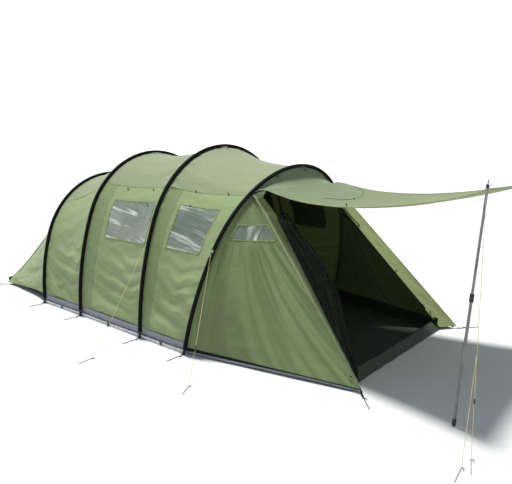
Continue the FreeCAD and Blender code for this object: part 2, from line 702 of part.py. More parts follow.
# sill: the low front edge of the tray under the doorway
left_foot = named_point("jamb_foot", -1, 6)
right_foot = named_point("jamb_foot", 1, 6)
SILL_INSET = 14
along = jamb_point(-1, 1) - jamb_point(-1, 0)
rise = Vector(0, along.y, along.z).normalize() * dim("sill_height")
sill_back = Vector(0, 5, 0)
sill_edge = [left_foot + Vector(SILL_INSET, -2, 0), right_foot + Vector(-SILL_INSET, -2, 0)]
top_inset = SILL_INSET + 36
sill_top = [left_foot + rise + Vector(top_inset, -2, 0), right_foot + rise + Vector(-top_inset, -2, 0)]
sill_face = Part.Face(Part.makePolygon([sill_edge[0], sill_edge[1], sill_top[1], sill_top[0], sill_edge[0]]))
feature("door_sill", sill_face.extrude(sill_back))

# ---------------------------------------------------------------- groundsheet and inner tent
inset = dim("groundsheet_inset")


def floor_plan(points, height, base=0.0):
    corners = [Vector(x, y, base) for x, y in points]
    return Part.Face(Part.makePolygon(corners + corners[:1])).extrude(Vector(0, 0, height))


plan_left = [(-(dim("jamb_foot_half_width") - inset), dim("jamb_foot_station") + 12),
             (-(dim("hoop4_half_width") - inset), dim("hoop4_station")),
             (-(dim("hoop3_half_width") - inset), dim("hoop3_station")),
             (-(dim("hoop2_half_width") - inset), dim("groundsheet_rear"))]
plan = plan_left + [(-x, y) for x, y in reversed(plan_left)]
feature("groundsheet", floor_plan(plan, dim("sheet_thickness")))

inner = dim("inner_inset")
front_y = dim("inner_front_station")
rear_y = dim("inner_rear_station")
hoop1_y = dim("hoop1_station")
tray_left = [(-(dim("hoop2_half_width") - inner), front_y), (-(dim("hoop1_half_width") - inner), hoop1_y),
             (-(dim("rear_half_width") - inner), rear_y)]
tray = tray_left + [(-x, y) for x, y in reversed(tray_left)]
feature("inner_floor", floor_plan(tray, dim("sheet_thickness")))

wall_t = dim("inner_wall_thickness")
floor_top = dim("sheet_thickness") + 0.5
inner_w = dim("hoop2_half_width") - inner
INNER_SHOULDER = 1180
INNER_CROWN_HALF = 430
shoulder_share = dim("inner_shoulder_share")


def inner_profile(half_width, shoulder, top, crown, y):
    """Five-cornered cross-section of the inner tent."""
    shoulder_half = half_width * shoulder_share
    return [Vector(-half_width, y, floor_top), Vector(-shoulder_half, y, shoulder),
            Vector(-crown, y, top), Vector(crown, y, top), Vector(shoulder_half, y, shoulder),
            Vector(half_width, y, floor_top)]


front_profile = inner_profile(inner_w, INNER_SHOULDER, dim("inner_height"), INNER_CROWN_HALF, front_y)
front_face = Part.Face(Part.makePolygon(front_profile + front_profile[:1]))
INNER_DOOR_HALF = 420
INNER_DOOR_SILL = 160
INNER_DOOR_TOP = 1350
inner_doorway = Part.makeBox(2 * INNER_DOOR_HALF, 60, INNER_DOOR_TOP - INNER_DOOR_SILL,
                             Vector(-INNER_DOOR_HALF, front_y - 30, INNER_DOOR_SILL))
feature("inner_front_wall", front_face.extrude(Vector(0, -wall_t, 0)).cut(inner_doorway))
inner_roll = Part.makeCylinder(38, INNER_DOOR_TOP - INNER_DOOR_SILL - 60,
                               Vector(-INNER_DOOR_HALF - 44, front_y - wall_t - 40, INNER_DOOR_SILL + 20))
feature("rolled_doors", Part.makeCompound([mesh_roll, inner_roll]))

mid_half = dim("hoop1_half_width") - inner
mid_profile = inner_profile(mid_half, 950, dim("hoop1_height") - 230, INNER_CROWN_HALF, hoop1_y)
rear_half = dim("rear_half_width") - inner
rear_profile = inner_profile(rear_half, 150, 250, 600, rear_y)


def inner_skin(first, second, corner_a, corner_b, thickness_vector):
    """Thin quad panel between two cross-sections, from one corner to the next."""
    start = [first[corner_a], first[corner_b]]
    end = [second[corner_a], second[corner_b]]
    return ruled(closed_strip(polyline(start), polyline([p + thickness_vector for p in start])),
                 closed_strip(polyline(end), polyline([p + thickness_vector for p in end])))


def shifted(profile, y):
    return [Vector(p.x, p.y + y, p.z) for p in profile]


start_profile = shifted(front_profile, EPS)
side_walls = []
for side in SIDES.values():
    inward = Vector(-side * wall_t, 0, 0)
    low, high = (0, 1) if side < 0 else (5, 4)
    panels = [inner_skin(start_profile, mid_profile, low, high, inward),
              inner_skin(shifted(mid_profile, EPS), rear_profile, low, high, inward)]
    side_walls += panels
feature("inner_side_walls", Part.makeCompound(side_walls))
down = Vector(0, 0, -wall_t)
roof_panels = []
for first, second in ((start_profile, mid_profile), (shifted(mid_profile, EPS), rear_profile)):
    for corner_a, corner_b, cut_in in ((1, 2, EPS * 5), (2, 3, 0.0), (3, 4, -EPS * 5)):
        nudge = Vector(cut_in, 0, 0)
        lowered = [[p + nudge for p in profile] for profile in (first, second)]
        trim = EPS if corner_a == 2 else 0.0
        for profile in lowered:
            profile[2] = profile[2] + Vector(trim * 3, 0, 0) if corner_a == 2 else profile[2]
            profile[3] = profile[3] + Vector(-trim * 3, 0, 0) if corner_a == 2 else profile[3]
        roof_panels.append(inner_skin(lowered[0], lowered[1], corner_a, corner_b, down))
feature("inner_roof", Part.makeCompound(roof_panels))

# ---------------------------------------------------------------- ground line: valance, straps, pegs
VALANCES = []
STRAPS = []
BUCKLES = []
VALANCE_TOP = dim("hem_height") - EPS


def ground_point(arch, side, height, inset):
    return arch.point(side, arch.tilt_at(height, inset), inset)


def upright_band(start, end, bottom, top, thickness, side, trim=0.0):
    """Vertical strip of fabric or webbing between two plan points."""
    direction = Vector(end.x - start.x, end.y - start.y, 0).normalize()
    across = Vector(-direction.y, direction.x, 0)
    if across.x * side > 0:
        across = across.negative()
    first = Vector(start.x, start.y, bottom) + direction * trim
    last = Vector(end.x, end.y, bottom) - direction * trim
    length = (last - first).Length
    return box_on_axes(first, direction, across, Vector(0, 0, 1), (length, thickness, top - bottom))


for rear, front in BAYS.values():
    for side in SIDES.values():
        start = ground_point(ARCHES[rear], side, 20, SKIN)
        end = ground_point(ARCHES[front], side, 20, SKIN)
        VALANCES.append(upright_band(start, end, dim("valance_bottom"), VALANCE_TOP,
                                     dim("valance_thickness"), side, trim=6))
        outward = Vector(side * (SKIN - 6), 0, 0)
        strap_z = 12
        STRAPS.append(upright_band(start + outward, end + outward, strap_z, strap_z + dim("strap_width"),
                                   dim("strap_thickness"), side, trim=22))
        middle = (start + end) / 2 + outward + Vector(side * 0.7, 0, 0)
        frame = Part.makeBox(5, 40, 38, Vector(0, -20, 0))
        slot = Part.makeBox(9, 26, 26, Vector(-2, -13, 6))
        bar = Part.makeBox(5, 6, 38, Vector(0, -3, 0))
        buckle = frame.cut(slot).fuse(bar).removeSplitter()
        if side < 0:
            buckle.translate(Vector(-5, 0, 0))
        turn = math.degrees(math.atan2(end.x - start.x, start.y - end.y))
        buckle.rotate(Vector(0, 0, 0), Vector(0, 0, 1), turn)
        buckle.translate(Vector(middle.x, middle.y, 8))
        BUCKLES.append(buckle)
for side in SIDES.values():
    start = ground_point(ARCHES[4], side, 20, SKIN)
    end = named_point("front", side, 0) + Vector(0, 14, 0)
    VALANCES.append(upright_band(start, end, 16, dim("valance_bottom") - EPS, dim("valance_thickness"),
                                 side, trim=12))
rear_left = named_point("rear", -1, 0)
rear_right = named_point("rear", 1, 0)
VALANCES.append(upright_band(rear_left, rear_right, dim("valance_bottom"), REAR_EDGE_HEIGHT - 12,
                             dim("valance_thickness"), 1, trim=30))
feature("mud_valances", Part.makeCompound(VALANCES))
feature("strap_buckles", Part.makeCompound(BUCKLES))

STRAP_REACH = 84
PEG_SPOTS = []
for side in SIDES.values():
    for name, towards in (("front", -1), ("rear", 1)):
        corner = named_point(name, side, 0)
        direction = Vector(side, towards * 0.9, 0).normalize()
        across = Vector(-direction.y, direction.x, 0)
        start = corner + direction * 6 - across * 10 + Vector(0, 0, 0.5)
        webbing = box_on_axes(start, direction, across, Vector(0, 0, 1), (STRAP_REACH, 20, 2.5))
        slot = box_on_axes(start + direction * (STRAP_REACH - 22) + across * 4 - Vector(0, 0, 5),
                           direction, across, Vector(0, 0, 1), (14, 12, 20))
        riser = box_on_axes(start, direction, across, Vector(0, 0, 1), (2.5, 20, dim("valance_bottom") - 2))
        STRAPS.append(webbing.cut(slot).fuse(riser).removeSplitter())
        PEG_SPOTS.append((corner + direction * (STRAP_REACH + 20), direction))
feature("webbing_straps", Part.makeCompound(STRAPS))


def peg_shape(spot, direction):
    """Steel peg lying flat: a straight shank with a hook turned back at its head."""
    radius = dim("peg_diameter") / 2
    hook = dim("peg_hook_radius")
    direction = Vector(direction.x, direction.y, 0).normalize()
    across = Vector(-direction.y, direction.x, 0)
    base = Vector(spot.x, spot.y, radius)
    tail = base + direction * dim("peg_length")
    bend_end = base + across * (2 * hook)
    bend_mid = base - direction * hook + across * hook
    nose = bend_end + direction * 22
    wire = Part.Wire([Part.makeLine(tail, base), Part.Arc(base, bend_mid, bend_end).toShape(),
                      Part.makeLine(bend_end, nose)])
    return tube_along(wire, tail, direction.negative(), 2 * radius)


for arch in ARCHES.values():
    for side in SIDES.values():
        foot = arch.point(side, 0)
        reach_out = BOOT_RADIUS + 3.5 + 2 * RING_RADIUS + 16
        PEG_SPOTS.append((Vector(foot.x + side * reach_out, foot.y - dim("peg_hook_radius"), 0),
                          Vector(side, 0, 0)))
feature("ground_pegs", Part.makeCompound([peg_shape(*spot) for spot in PEG_SPOTS]))

# ---------------------------------------------------------------- toggles
TOGGLE_LENGTH = 32
TOGGLE_RADIUS = 5


def toggle_at(point, direction):
    base = point - direction * (TOGGLE_LENGTH / 2)
    return Part.makeCylinder(TOGGLE_RADIUS, TOGGLE_LENGTH, base, direction)


def on_wall(bay, side, fraction, height, out):
    """Point outside a bay's wall at a fraction of its length from the rear hoop."""
    rear, front = BAYS[bay]
    first = ground_point(ARCHES[rear], side, height, SKIN - out)
    second = ground_point(ARCHES[front], side, height, SKIN - out)
    return first + (second - first) * fraction


TOGGLES = []
for side in SIDES.values():
    for bay, fraction, height in (("mid", 0.37, 1582), ("mid", 0.79, 1586), ("mid", 0.8, 1440),
                                  ("front", 0.34, 1588), ("front", 0.73, 1570), ("front", 0.38, 1440)):
        spot = on_wall(bay, side, fraction, height, 26)
        TOGGLES.append(toggle_at(spot, Vector(0, 0.25, 1).normalize()))
    along = (jamb_point(side, 1) - jamb_point(side, 0)).normalize()
    for share in (0.12, 0.45, 0.82):
        TOGGLES.append(toggle_at(strip_point(side, share, 45, 11), along))
feature("tie_toggles", Part.makeCompound(TOGGLES))

# ---------------------------------------------------------------- guy lines on the left side
TAB_REACH = 16


def guy_run(start, end):
    direction = (end - start).normalize()
    return Part.makeCylinder(dim("guy_diameter") / 2, (end - start).Length, start, direction)


def guy_loop(spot, direction):
    """Webbing loop sewn on a hoop sleeve, its eye on the line of the guy."""
    plate = Part.makeBox(TAB_REACH, 20, 2, Vector(0, -10, -1))
    eye = Part.makeCylinder(3.5, 10, Vector(TAB_REACH - 6, 0, -5))
    shape = plate.cut(eye)
    shape.Placement = Placement(spot, Rotation(Vector(1, 0, 0), direction))
    return shape


LOOPS = []
GUY_ENDS = {}
for number, tag in ((3, "rear"), (4, "front")):
    for side in SIDES.values():
        arch = ARCHES[number]
        tilt = arch.tilt_at(dim("guy_height"))
        out_point = arch.point(side, tilt, -(dim("sleeve_diameter") / 2 + 1.0))
        peg = Vector(-side * dim("guy%d_peg_x" % number), dim("guy%d_peg_station" % number), 5)
        direction = (peg - out_point).normalize()
        LOOPS.append(guy_loop(out_point, direction))
        if side < 0:
            GUY_ENDS[tag] = (out_point + direction * (TAB_REACH + 1), peg)
feature("guy_loops", Part.makeCompound(LOOPS))

head_eye = prop_placement(-1).multVec(Vector(-GUY_EYE_OUT, 0, dim("prop_height") - FOOT_CENTRE_HEIGHT + 10))
prop_peg = Vector(dim("prop_peg_x"), dim("prop_peg_station"), 5)
prop_direction = (prop_peg - head_eye).normalize()
GUY_ENDS["prop"] = (head_eye + prop_direction * 8, prop_peg)
RING_SHARE = 0.61
ring_centre = head_eye + (prop_peg - head_eye) * RING_SHARE
second_peg = Vector(dim("prop_peg2_x"), dim("prop_peg2_station"), 5)
branch_direction = (second_peg - ring_centre).normalize()
GUY_ENDS["branch"] = (ring_centre + branch_direction * 18, second_peg)

PEG_CLEAR = 7
GUY_PEGS = []
for tag, (start, end) in GUY_ENDS.items():
    direction = (end - start).normalize()
    feature("guy_line_%s" % tag, guy_run(start, end - direction * PEG_CLEAR))
    away = Vector(end.x - start.x, end.y - start.y, 0).normalize()
    GUY_PEGS.append(peg_shape(Vector(end.x, end.y, 0) + away * 4, away))


def runner(start, end, share, length=34):
    """Line runner: a small bar with a bore that slides on its guy line."""
    direction = (end - start).normalize()
    bore_radius = dim("guy_diameter") / 2 + 0.4
    blank = Part.makeBox(14, 5.5, length, Vector(-7, -2.75, 0))
    hole = Part.makeCylinder(bore_radius, length + 20, Vector(0, 0, -10))
    shape = blank.cut(hole)
    shape.Placement = Placement(start + (end - start) * share, Rotation(Vector(0, 0, 1), direction))
    return shape


for tag, share in (("rear", 0.72), ("front", 0.72), ("prop", 0.78)):
    feature("guy_runner_%s" % tag, runner(*GUY_ENDS[tag], share))
ring_start = ring_centre - prop_direction * 8
feature("guy_pegs_and_ring", Part.makeCompound(GUY_PEGS + [runner(ring_start, prop_peg, 0.0, 16)]))

# ---------------------------------------------------------------- checks and export
doc.recompute()
problems = []
for item in doc.Objects:
    if "Invalid" in item.State or "Error" in item.State:
        problems.append("%s: %s" % (item.Name, item.State))
for item in NODES:
    if item.Shape.isNull() or not item.Shape.isValid():
        problems.append("%s has a bad shape" % item.Label)
if problems:
    raise RuntimeError("; ".join(problems))
os.makedirs("parts", exist_ok=True)
for item in NODES:
    item.Shape.exportStep(os.path.join("parts", item.Label + ".step"))
whole = Part.makeCompound([item.Shape for item in NODES]).BoundBox
print("sub-parts:", len(NODES))
print("box: x %.1f..%.1f  y %.1f..%.1f  z %.1f..%.1f"
      % (whole.XMin, whole.XMax, whole.YMin, whole.YMax, whole.ZMin, whole.ZMax))
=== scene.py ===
"""Looks of a four-hoop tunnel tent: sewn fabric, poles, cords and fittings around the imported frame.

Row frame, metres: +Z up, -Y the door end, -X the side with the guy lines.
"""
import math

import bmesh
import bpy
import numpy as np
from mathutils import Matrix, Vector


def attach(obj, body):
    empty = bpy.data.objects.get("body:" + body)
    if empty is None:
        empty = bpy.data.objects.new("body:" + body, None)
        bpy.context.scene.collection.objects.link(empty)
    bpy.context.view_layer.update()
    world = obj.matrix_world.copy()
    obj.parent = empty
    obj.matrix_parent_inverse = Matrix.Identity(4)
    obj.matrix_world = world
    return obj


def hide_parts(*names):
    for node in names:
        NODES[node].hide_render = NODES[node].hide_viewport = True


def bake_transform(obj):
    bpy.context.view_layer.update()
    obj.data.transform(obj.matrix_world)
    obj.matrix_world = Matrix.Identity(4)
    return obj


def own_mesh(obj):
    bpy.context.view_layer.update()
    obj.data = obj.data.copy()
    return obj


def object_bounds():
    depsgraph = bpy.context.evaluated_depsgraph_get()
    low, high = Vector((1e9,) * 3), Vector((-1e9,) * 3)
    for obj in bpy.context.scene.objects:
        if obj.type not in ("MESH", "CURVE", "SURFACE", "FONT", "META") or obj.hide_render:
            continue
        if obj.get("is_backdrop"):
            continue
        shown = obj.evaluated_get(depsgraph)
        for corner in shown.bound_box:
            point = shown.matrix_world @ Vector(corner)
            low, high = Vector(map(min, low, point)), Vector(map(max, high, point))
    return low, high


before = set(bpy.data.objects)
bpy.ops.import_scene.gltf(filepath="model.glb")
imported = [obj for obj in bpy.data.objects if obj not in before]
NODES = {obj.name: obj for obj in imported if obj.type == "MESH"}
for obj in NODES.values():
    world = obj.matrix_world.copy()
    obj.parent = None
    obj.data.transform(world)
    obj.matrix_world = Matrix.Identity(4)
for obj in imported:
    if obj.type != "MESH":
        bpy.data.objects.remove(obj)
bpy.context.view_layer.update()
SCENE = bpy.context.scene

# ---- driving dimensions
HOOPS = {  # foot station, half width, height, apex lean, eave height
    1: (2.030, 1.303, 1.706, 0.150, 1.330),
    2: (1.155, 1.331, 2.021, 0.030, 1.640),
    3: (-0.085, 1.401, 2.100, -0.030, 1.650),
    4: (-0.825, 1.438, 1.877, -0.420, 1.600),
}
LEG_ANGLE = math.radians(21)
SKIN = 0.022
HEM = 0.115
REAR = (1.090, 3.458)
FRONT = (1.118, -2.683)
JAMB_FOOT = (0.945, -2.550, 0.020)
JAMB_WAIST = (0.600, -1.370, 1.400)
JAMB_HEAD = (0.712, -1.285, 1.585)
FOLD_HEAD = (0.800, -1.262, 1.560)
HINGE = (0.735, -1.345, 1.652)
HINGE_BACK = HINGE[1] + 0.004  # where the header meets the awning
AWNING_HEM = (1.135, -3.612, 1.795)
FOOT = 0.034  # height at which the cloth ends above the ground
WINDOWS = {"mid": (0.85, 0.0), "front": (-0.345, -0.88)}
WINDOW_HEIGHTS = (1.02, 1.475)
SIDES = {"left": -1, "right": 1}
BAYS = {"rear": (1, 2), "mid": (2, 3), "front": (3, 4)}
SEAM_SHARE = 0.175  # seam beside the rear hoop of a bay with windows
SEAM_LIFT = 0.0012  # how far a seam's binding stands off the cloth
GUSSET = 30  # rows of cloth in each rear corner piece
SADDLE = (0.030, 0.014)  # how far a bay's cloth dips between its hoops, high up and low down
DRAWN_IN = 0.022  # and how much further in towards the rear hoop of a bay with windows
PUCKER = 0.006
TAPE = {  # width and thickness of the bindings and straps
    "door": (0.014, 0.003), "piping": (0.010, 0.003), "window": (0.013, 0.0024), "awning edge": (0.016, 0.003),
    "awning hem": (0.030, 0.0035), "hinge": (0.016, 0.002), "seam": (0.010, 0.0010), "sleeve": (0.030, 0.003),
    "ground": (0.030, 0.0022), "corner": (0.020, 0.0024), "patch": (0.020, 0.002), "loop": (0.016, 0.0022),
}
SWAG_DEPTH = 0.027
PLEAT_HEIGHT = 0.036
REAR_DIP = 0.055
AWNING_DIP = 0.030
ROOF_ROWS = 44  # rows of cloth over the crown from eave to eave


# ---- hoop geometry
class Arch:
    """A hoop's centre line: two leg arcs and one crown arc in a leaning plane."""

    def __init__(self, station, half_width, height, lean, eave):
        self.station, self.half_width, self.eave = station, half_width, eave
        self.rise = math.hypot(height, lean)
        self.slope = math.atan2(lean, height)
        sine, cosine = math.sin(LEG_ANGLE), math.cos(LEG_ANGLE)
        det = (1 - cosine) * (1 - sine) - cosine * sine
        self.leg = (half_width * (1 - sine) - self.rise * cosine) / det
        self.top = (self.rise * (1 - cosine) - half_width * sine) / det

    def point(self, side, tilt, inset=SKIN):
        if tilt <= LEG_ANGLE:
            radius = self.leg - inset
            x = self.half_width - self.leg + radius * math.cos(tilt)
            up = radius * math.sin(tilt)
        else:
            radius = self.top - inset
            x = radius * math.cos(tilt)
            up = self.rise - self.top + radius * math.sin(tilt)
        return np.array((side * x, self.station + up * math.sin(self.slope), up * math.cos(self.slope)))

    def tilt_at(self, height):
        up = height / math.cos(self.slope)
        sine = up / (self.leg - SKIN)
        if sine <= math.sin(LEG_ANGLE):
            return math.asin(sine)
        return math.asin(min(1.0, (up - self.rise + self.top) / (self.top - SKIN)))

    def at(self, side, height):
        return self.point(side, self.tilt_at(height))

    def outline(self, shares):
        """Line over the hoop: at shares of each leg's height from hem to eave, evenly over the crown."""
        leg = [self.at(-1, HEM + (self.eave - HEM) * share) for share in shares]
        start, end = self.tilt_at(self.eave), math.pi / 2
        crown = [self.point(-1, mix(start, end, k / ROOF_ROWS * 2)) for k in range(1, ROOF_ROWS // 2 + 1)]
        return whole(leg + crown)

    def over(self, start, count, inset=SKIN):
        """Line over the hoop from one leg's tilt to the other's."""
        return np.array([self.point(-1, t, inset) if t <= math.pi / 2 else self.point(1, math.pi - t, inset)
                         for t in np.linspace(start, math.pi - start, count)])


def smooth(low, high, x):
    """0 below low, 1 above high, and an even ease between."""
    t = np.clip((np.asarray(x, float) - low) / (high - low), 0, 1)
    return t * t * (3 - 2 * t)


def mix(a, b, t):
    return a + (b - a) * t


def unit(vector):
    """The vector's direction at length one."""
    return np.asarray(vector, float) / np.linalg.norm(vector)


def between(line, share):
    """Point at a share along a straight line between two ends."""
    a, b = np.array(line[0], float), np.array(line[1], float)
    return a + (b - a) * share


def mirrored(point, side):
    return np.array(point, float) * (side, 1, 1)


def whole(half):
    """A line's left half, up to the middle plane, and its mirror image."""
    return np.concatenate([half, mirrored(half[-2::-1], -1)])


ARCHES = {number: Arch(*values) for number, values in HOOPS.items()}


def ripple(x, y, seed, low=1.0, high=4.0):
    """Smooth seeded noise over a surface, about -1 to 1."""
    waves = 5
    rng = np.random.default_rng(seed)
    total = np.zeros(np.broadcast(x, y).shape)
    for _ in range(waves):
        angle, rate, phase = rng.uniform(0, math.tau), rng.uniform(low, high), rng.uniform(0, math.tau)
        total = total + np.sin(math.tau * rate * (x * math.cos(angle) + y * math.sin(angle)) + phase)
    return total / math.sqrt(waves)


def hump(t):
    """0 at both ends of 0 to 1, and 1 in the middle."""
    return 4 * t * (1 - t)


def even(count):
    return np.linspace(0, 1, count)


def ridge(phase, sharp):
    """Narrow smooth creases, one every half turn of phase, from 0 to 1."""
    return np.exp(-(np.sin(phase) / sharp) ** 2)


def steps(*marks):
    """Spaced values that pass exactly through each mark: (value, count to the next), ..., last."""
    values = []
    for (start, count), following in zip(marks, marks[1:]):
        end = following[0] if isinstance(following, tuple) else following
        values.extend(np.linspace(start, end, count, endpoint=False))
    return np.array(values + [marks[-1]])


# ---- meshes
def stack(*parts):
    """Grid of points or map places from one array a coordinate."""
    return np.stack(np.broadcast_arrays(*parts), axis=-1)


def loft(first, last, shares):
    """Grid of points on the straight lines between two edges, at shares of the way."""
    return first[:, None] + (last - first)[:, None] * shares[..., None]


def surface_normals(points, toward=None):
    """Unit normals of a grid, on the side that toward points to when it is given."""
    normal = np.cross(np.gradient(points, axis=0), np.gradient(points, axis=1))
    normal = normal / np.maximum(np.linalg.norm(normal, axis=2, keepdims=True), 1e-9)
    if toward is not None:
        normal *= np.sign((normal * toward).sum(axis=2, keepdims=True))
    return normal


def girth(line):
    """Length along a line up to each of its points, as a column."""
    return np.cumsum(np.linalg.norm(np.diff(line, axis=0, prepend=line[:1]), axis=1))[:, None]


def grid_object(name, points, uv=None, keep=None, levels=1):
    """Sheet of quads over a grid of points; keep picks the cells that are part of it."""
    rows, cols = points.shape[:2]
    faces = [(r * cols + c, r * cols + c + 1, (r + 1) * cols + c + 1, (r + 1) * cols + c)
             for r in range(rows - 1) for c in range(cols - 1) if keep is None or keep[r, c]]
    mesh = bpy.data.meshes.new(name)
    mesh.from_pydata(points.reshape(-1, 3).tolist(), [], faces)
    if uv is not None:
        flat = uv.reshape(-1, 2)
        layer = mesh.uv_layers.new(name="sheet")
        index = np.empty(len(mesh.loops), int)
        mesh.loops.foreach_get("vertex_index", index)
        layer.data.foreach_set("uv", flat[index].astype(np.float32).ravel())
    work = bmesh.new()
    work.from_mesh(mesh)
    bmesh.ops.delete(work, geom=[v for v in work.verts if not v.link_faces], context="VERTS")
    work.to_mesh(mesh)
    work.free()
    turn_outward(mesh)
    return finish_mesh(name, mesh, levels)


def turn_outward(mesh):
    """Wind a sheet's faces so that its weather side is their front."""
    outward = 0.0
    for face in mesh.polygons:
        x, y, z = face.center
        away = Vector((x, max(0.0, y - 2.2) - max(0.0, -0.9 - y), z - 0.6))
        outward += face.area * face.normal.dot(away)
    if outward < 0:
        mesh.flip_normals()


def add_object(name, data):
    item = bpy.data.objects.new(name, data)
    SCENE.collection.objects.link(item)
    return item


def finish_mesh(name, mesh, levels=0):
    mesh.polygons.foreach_set("use_smooth", [True] * len(mesh.polygons))
    item = add_object(name, mesh)
    if levels:
        subdivision = item.modifiers.new("smooth", "SUBSURF")
        subdivision.levels = subdivision.render_levels = levels
        subdivision.boundary_smooth = "PRESERVE_CORNERS"
    return item


def path_frames(path, up):
    """Along, across and up vectors at each point of a path."""
    along = np.gradient(path, axis=0)
    along /= np.linalg.norm(along, axis=1, keepdims=True)
    up = np.broadcast_to(np.asarray(up, float), path.shape)
    across = np.cross(up, along)
    across /= np.maximum(np.linalg.norm(across, axis=1, keepdims=True), 1e-9)
    return along, across, np.cross(along, across)


def strap(name, path, up, width, thickness, levels=1):
    """Closed flat webbing along a path; up is the way its broad side faces."""
    path = np.asarray(path, float)
    _, across, lift = path_frames(path, up)
    half, deep = width / 2, thickness / 2
    ring = [(-half, -deep), (-half * 0.5, -deep), (half * 0.5, -deep), (half, -deep),
            (half, deep), (half * 0.5, deep), (-half * 0.5, deep), (-half, deep)]
    return tube_mesh(name, path, across, lift, ring, levels)


def tube(name, path, radius, sides=10, levels=0, up=(0, 0, 1)):
    """Closed round rod along a path."""
    path = np.asarray(path, float)
    _, across, lift = path_frames(path, up)
    radii = np.broadcast_to(np.asarray(radius, float), (len(path),))
    ring = [(math.cos(math.tau * k / sides), math.sin(math.tau * k / sides)) for k in range(sides)]
    return tube_mesh(name, path, across * radii[:, None], lift * radii[:, None], ring, levels)


def tube_mesh(name, path, across, lift, ring, levels):
    count = len(ring)
    verts = [path[i] + across[i] * a + lift[i] * b for i in range(len(path)) for a, b in ring]
    faces = [(i * count + k, i * count + (k + 1) % count, (i + 1) * count + (k + 1) % count,
              (i + 1) * count + k) for i in range(len(path) - 1) for k in range(count)]
    faces.append(tuple(reversed(range(count))))
    faces.append(tuple((len(path) - 1) * count + k for k in range(count)))
    mesh = bpy.data.meshes.new(name)
    mesh.from_pydata([tuple(v) for v in verts], [], faces)
    return finish_mesh(name, mesh, levels)


def join(name, items):
    """One object from several; the first keeps its modifiers."""
    base = items[0]
    work = bmesh.new()
    for item in items:
        work.from_mesh(item.data)
    for item in items[1:]:
        bpy.data.objects.remove(item)
    work.to_mesh(base.data)
    work.free()
    base.name = name
    return base


# ---- materials
class Nodes:
    """Adds linked nodes to a tree."""

    def __init__(self, tree):
        self.tree = tree

    def add(self, kind, inputs=None, **settings):
        node = self.tree.nodes.new(kind)
        for key, value in settings.items():
            setattr(node, key, value)
        for key, value in (inputs or {}).items():
            if isinstance(value, bpy.types.NodeSocket):
                self.tree.links.new(value, node.inputs[key])
            else:
                node.inputs[key].default_value = value
        return node

    def span(self, value, low, high, to_low=0.0, to_high=1.0, kind="SMOOTHSTEP"):
        """Value taken from one range into another."""
        return self.add("ShaderNodeMapRange", {"Value": value, "From Min": low, "From Max": high,
                                               "To Min": to_low, "To Max": to_high},
                        interpolation_type=kind).outputs["Result"]

    def blend(self, factor, first, second):
        """Colour between two colours."""
        return self.add("ShaderNodeMix", {0: factor, 6: first, 7: second}, data_type="RGBA").outputs[2]

    def split(self, vector=None):
        """The parts of a vector, or without one of the place on the sheet: across, then up."""
        vector = vector or self.add("ShaderNodeUVMap").outputs[0]
        return self.add("ShaderNodeSeparateXYZ", {0: vector}).outputs

    def math(self, operation, first, second=0.0, clamp=False):
        return self.add("ShaderNodeMath", {0: first, 1: second}, operation=operation,
                        use_clamp=clamp).outputs[0]

    def times(self, first, second):
        return self.math("MULTIPLY", first, second)

    def plus(self, first, second):
        return self.math("ADD", first, second)

    def minus(self, first, second):
        return self.math("SUBTRACT", first, second)


class Shader(Nodes):
    """A node material in the making."""

    def __init__(self, name):
        self.material = bpy.data.materials.new(name)
        self.material.use_nodes = True
        super().__init__(self.material.node_tree)
        self.tree.nodes.clear()
        self.place = self.add("ShaderNodeTexCoord").outputs["Object"]

    def noise(self, scale, detail=3.0, vector=None, roughness=0.5, distortion=0.0):
        return self.add("ShaderNodeTexNoise", {
            "Vector": vector or self.place, "Scale": scale, "Detail": detail,
            "Roughness": roughness, "Distortion": distortion}).outputs["Fac"]

    def stretched(self, scale, vector=None):
        return self.add("ShaderNodeMapping", {"Vector": vector or self.place, "Scale": scale}).outputs[0]

    def bump(self, height, strength, distance, normal=None):
        inputs = {"Height": height, "Strength": strength, "Distance": distance}
        if normal is not None:
            inputs["Normal"] = normal
        return self.add("ShaderNodeBump", inputs).outputs["Normal"]

    def weave(self, period, normal=None, strength=0.25):
        """Over-and-under thread relief with the given thread spacing in metres."""
        rate = math.tau / 20 / period
        bands = [self.add("ShaderNodeTexWave", {"Vector": self.place, "Scale": rate},
                          bands_direction=axis).outputs["Fac"] for axis in "XYZ"]
        height = self.plus(self.times(bands[0], bands[1]), self.times(bands[1], bands[2]))
        return self.bump(height, strength, period * 0.4, normal)

    def surface(self, colour, roughness, **more):
        """Main shader; more holds further inputs, their names written with _ for a space."""
        inputs = {key.replace("_", " "): value for key, value in more.items()}
        return self.add("ShaderNodeBsdfPrincipled",
                        {"Base Color": colour, "Roughness": roughness, **inputs}).outputs[0]

    def join(self, share, first, second):
        return self.add("ShaderNodeMixShader", {0: share, 1: first, 2: second}).outputs[0]

    def facing(self):
        """1 on the back of a sheet's faces."""
        return self.add("ShaderNodeNewGeometry").outputs["Backfacing"]

    def finish(self, shader):
        self.add("ShaderNodeOutputMaterial", {"Surface": shader})
        return self.material


def rgba(color, factor=1.0):
    return tuple(channel * factor for channel in color) + (1.0,)


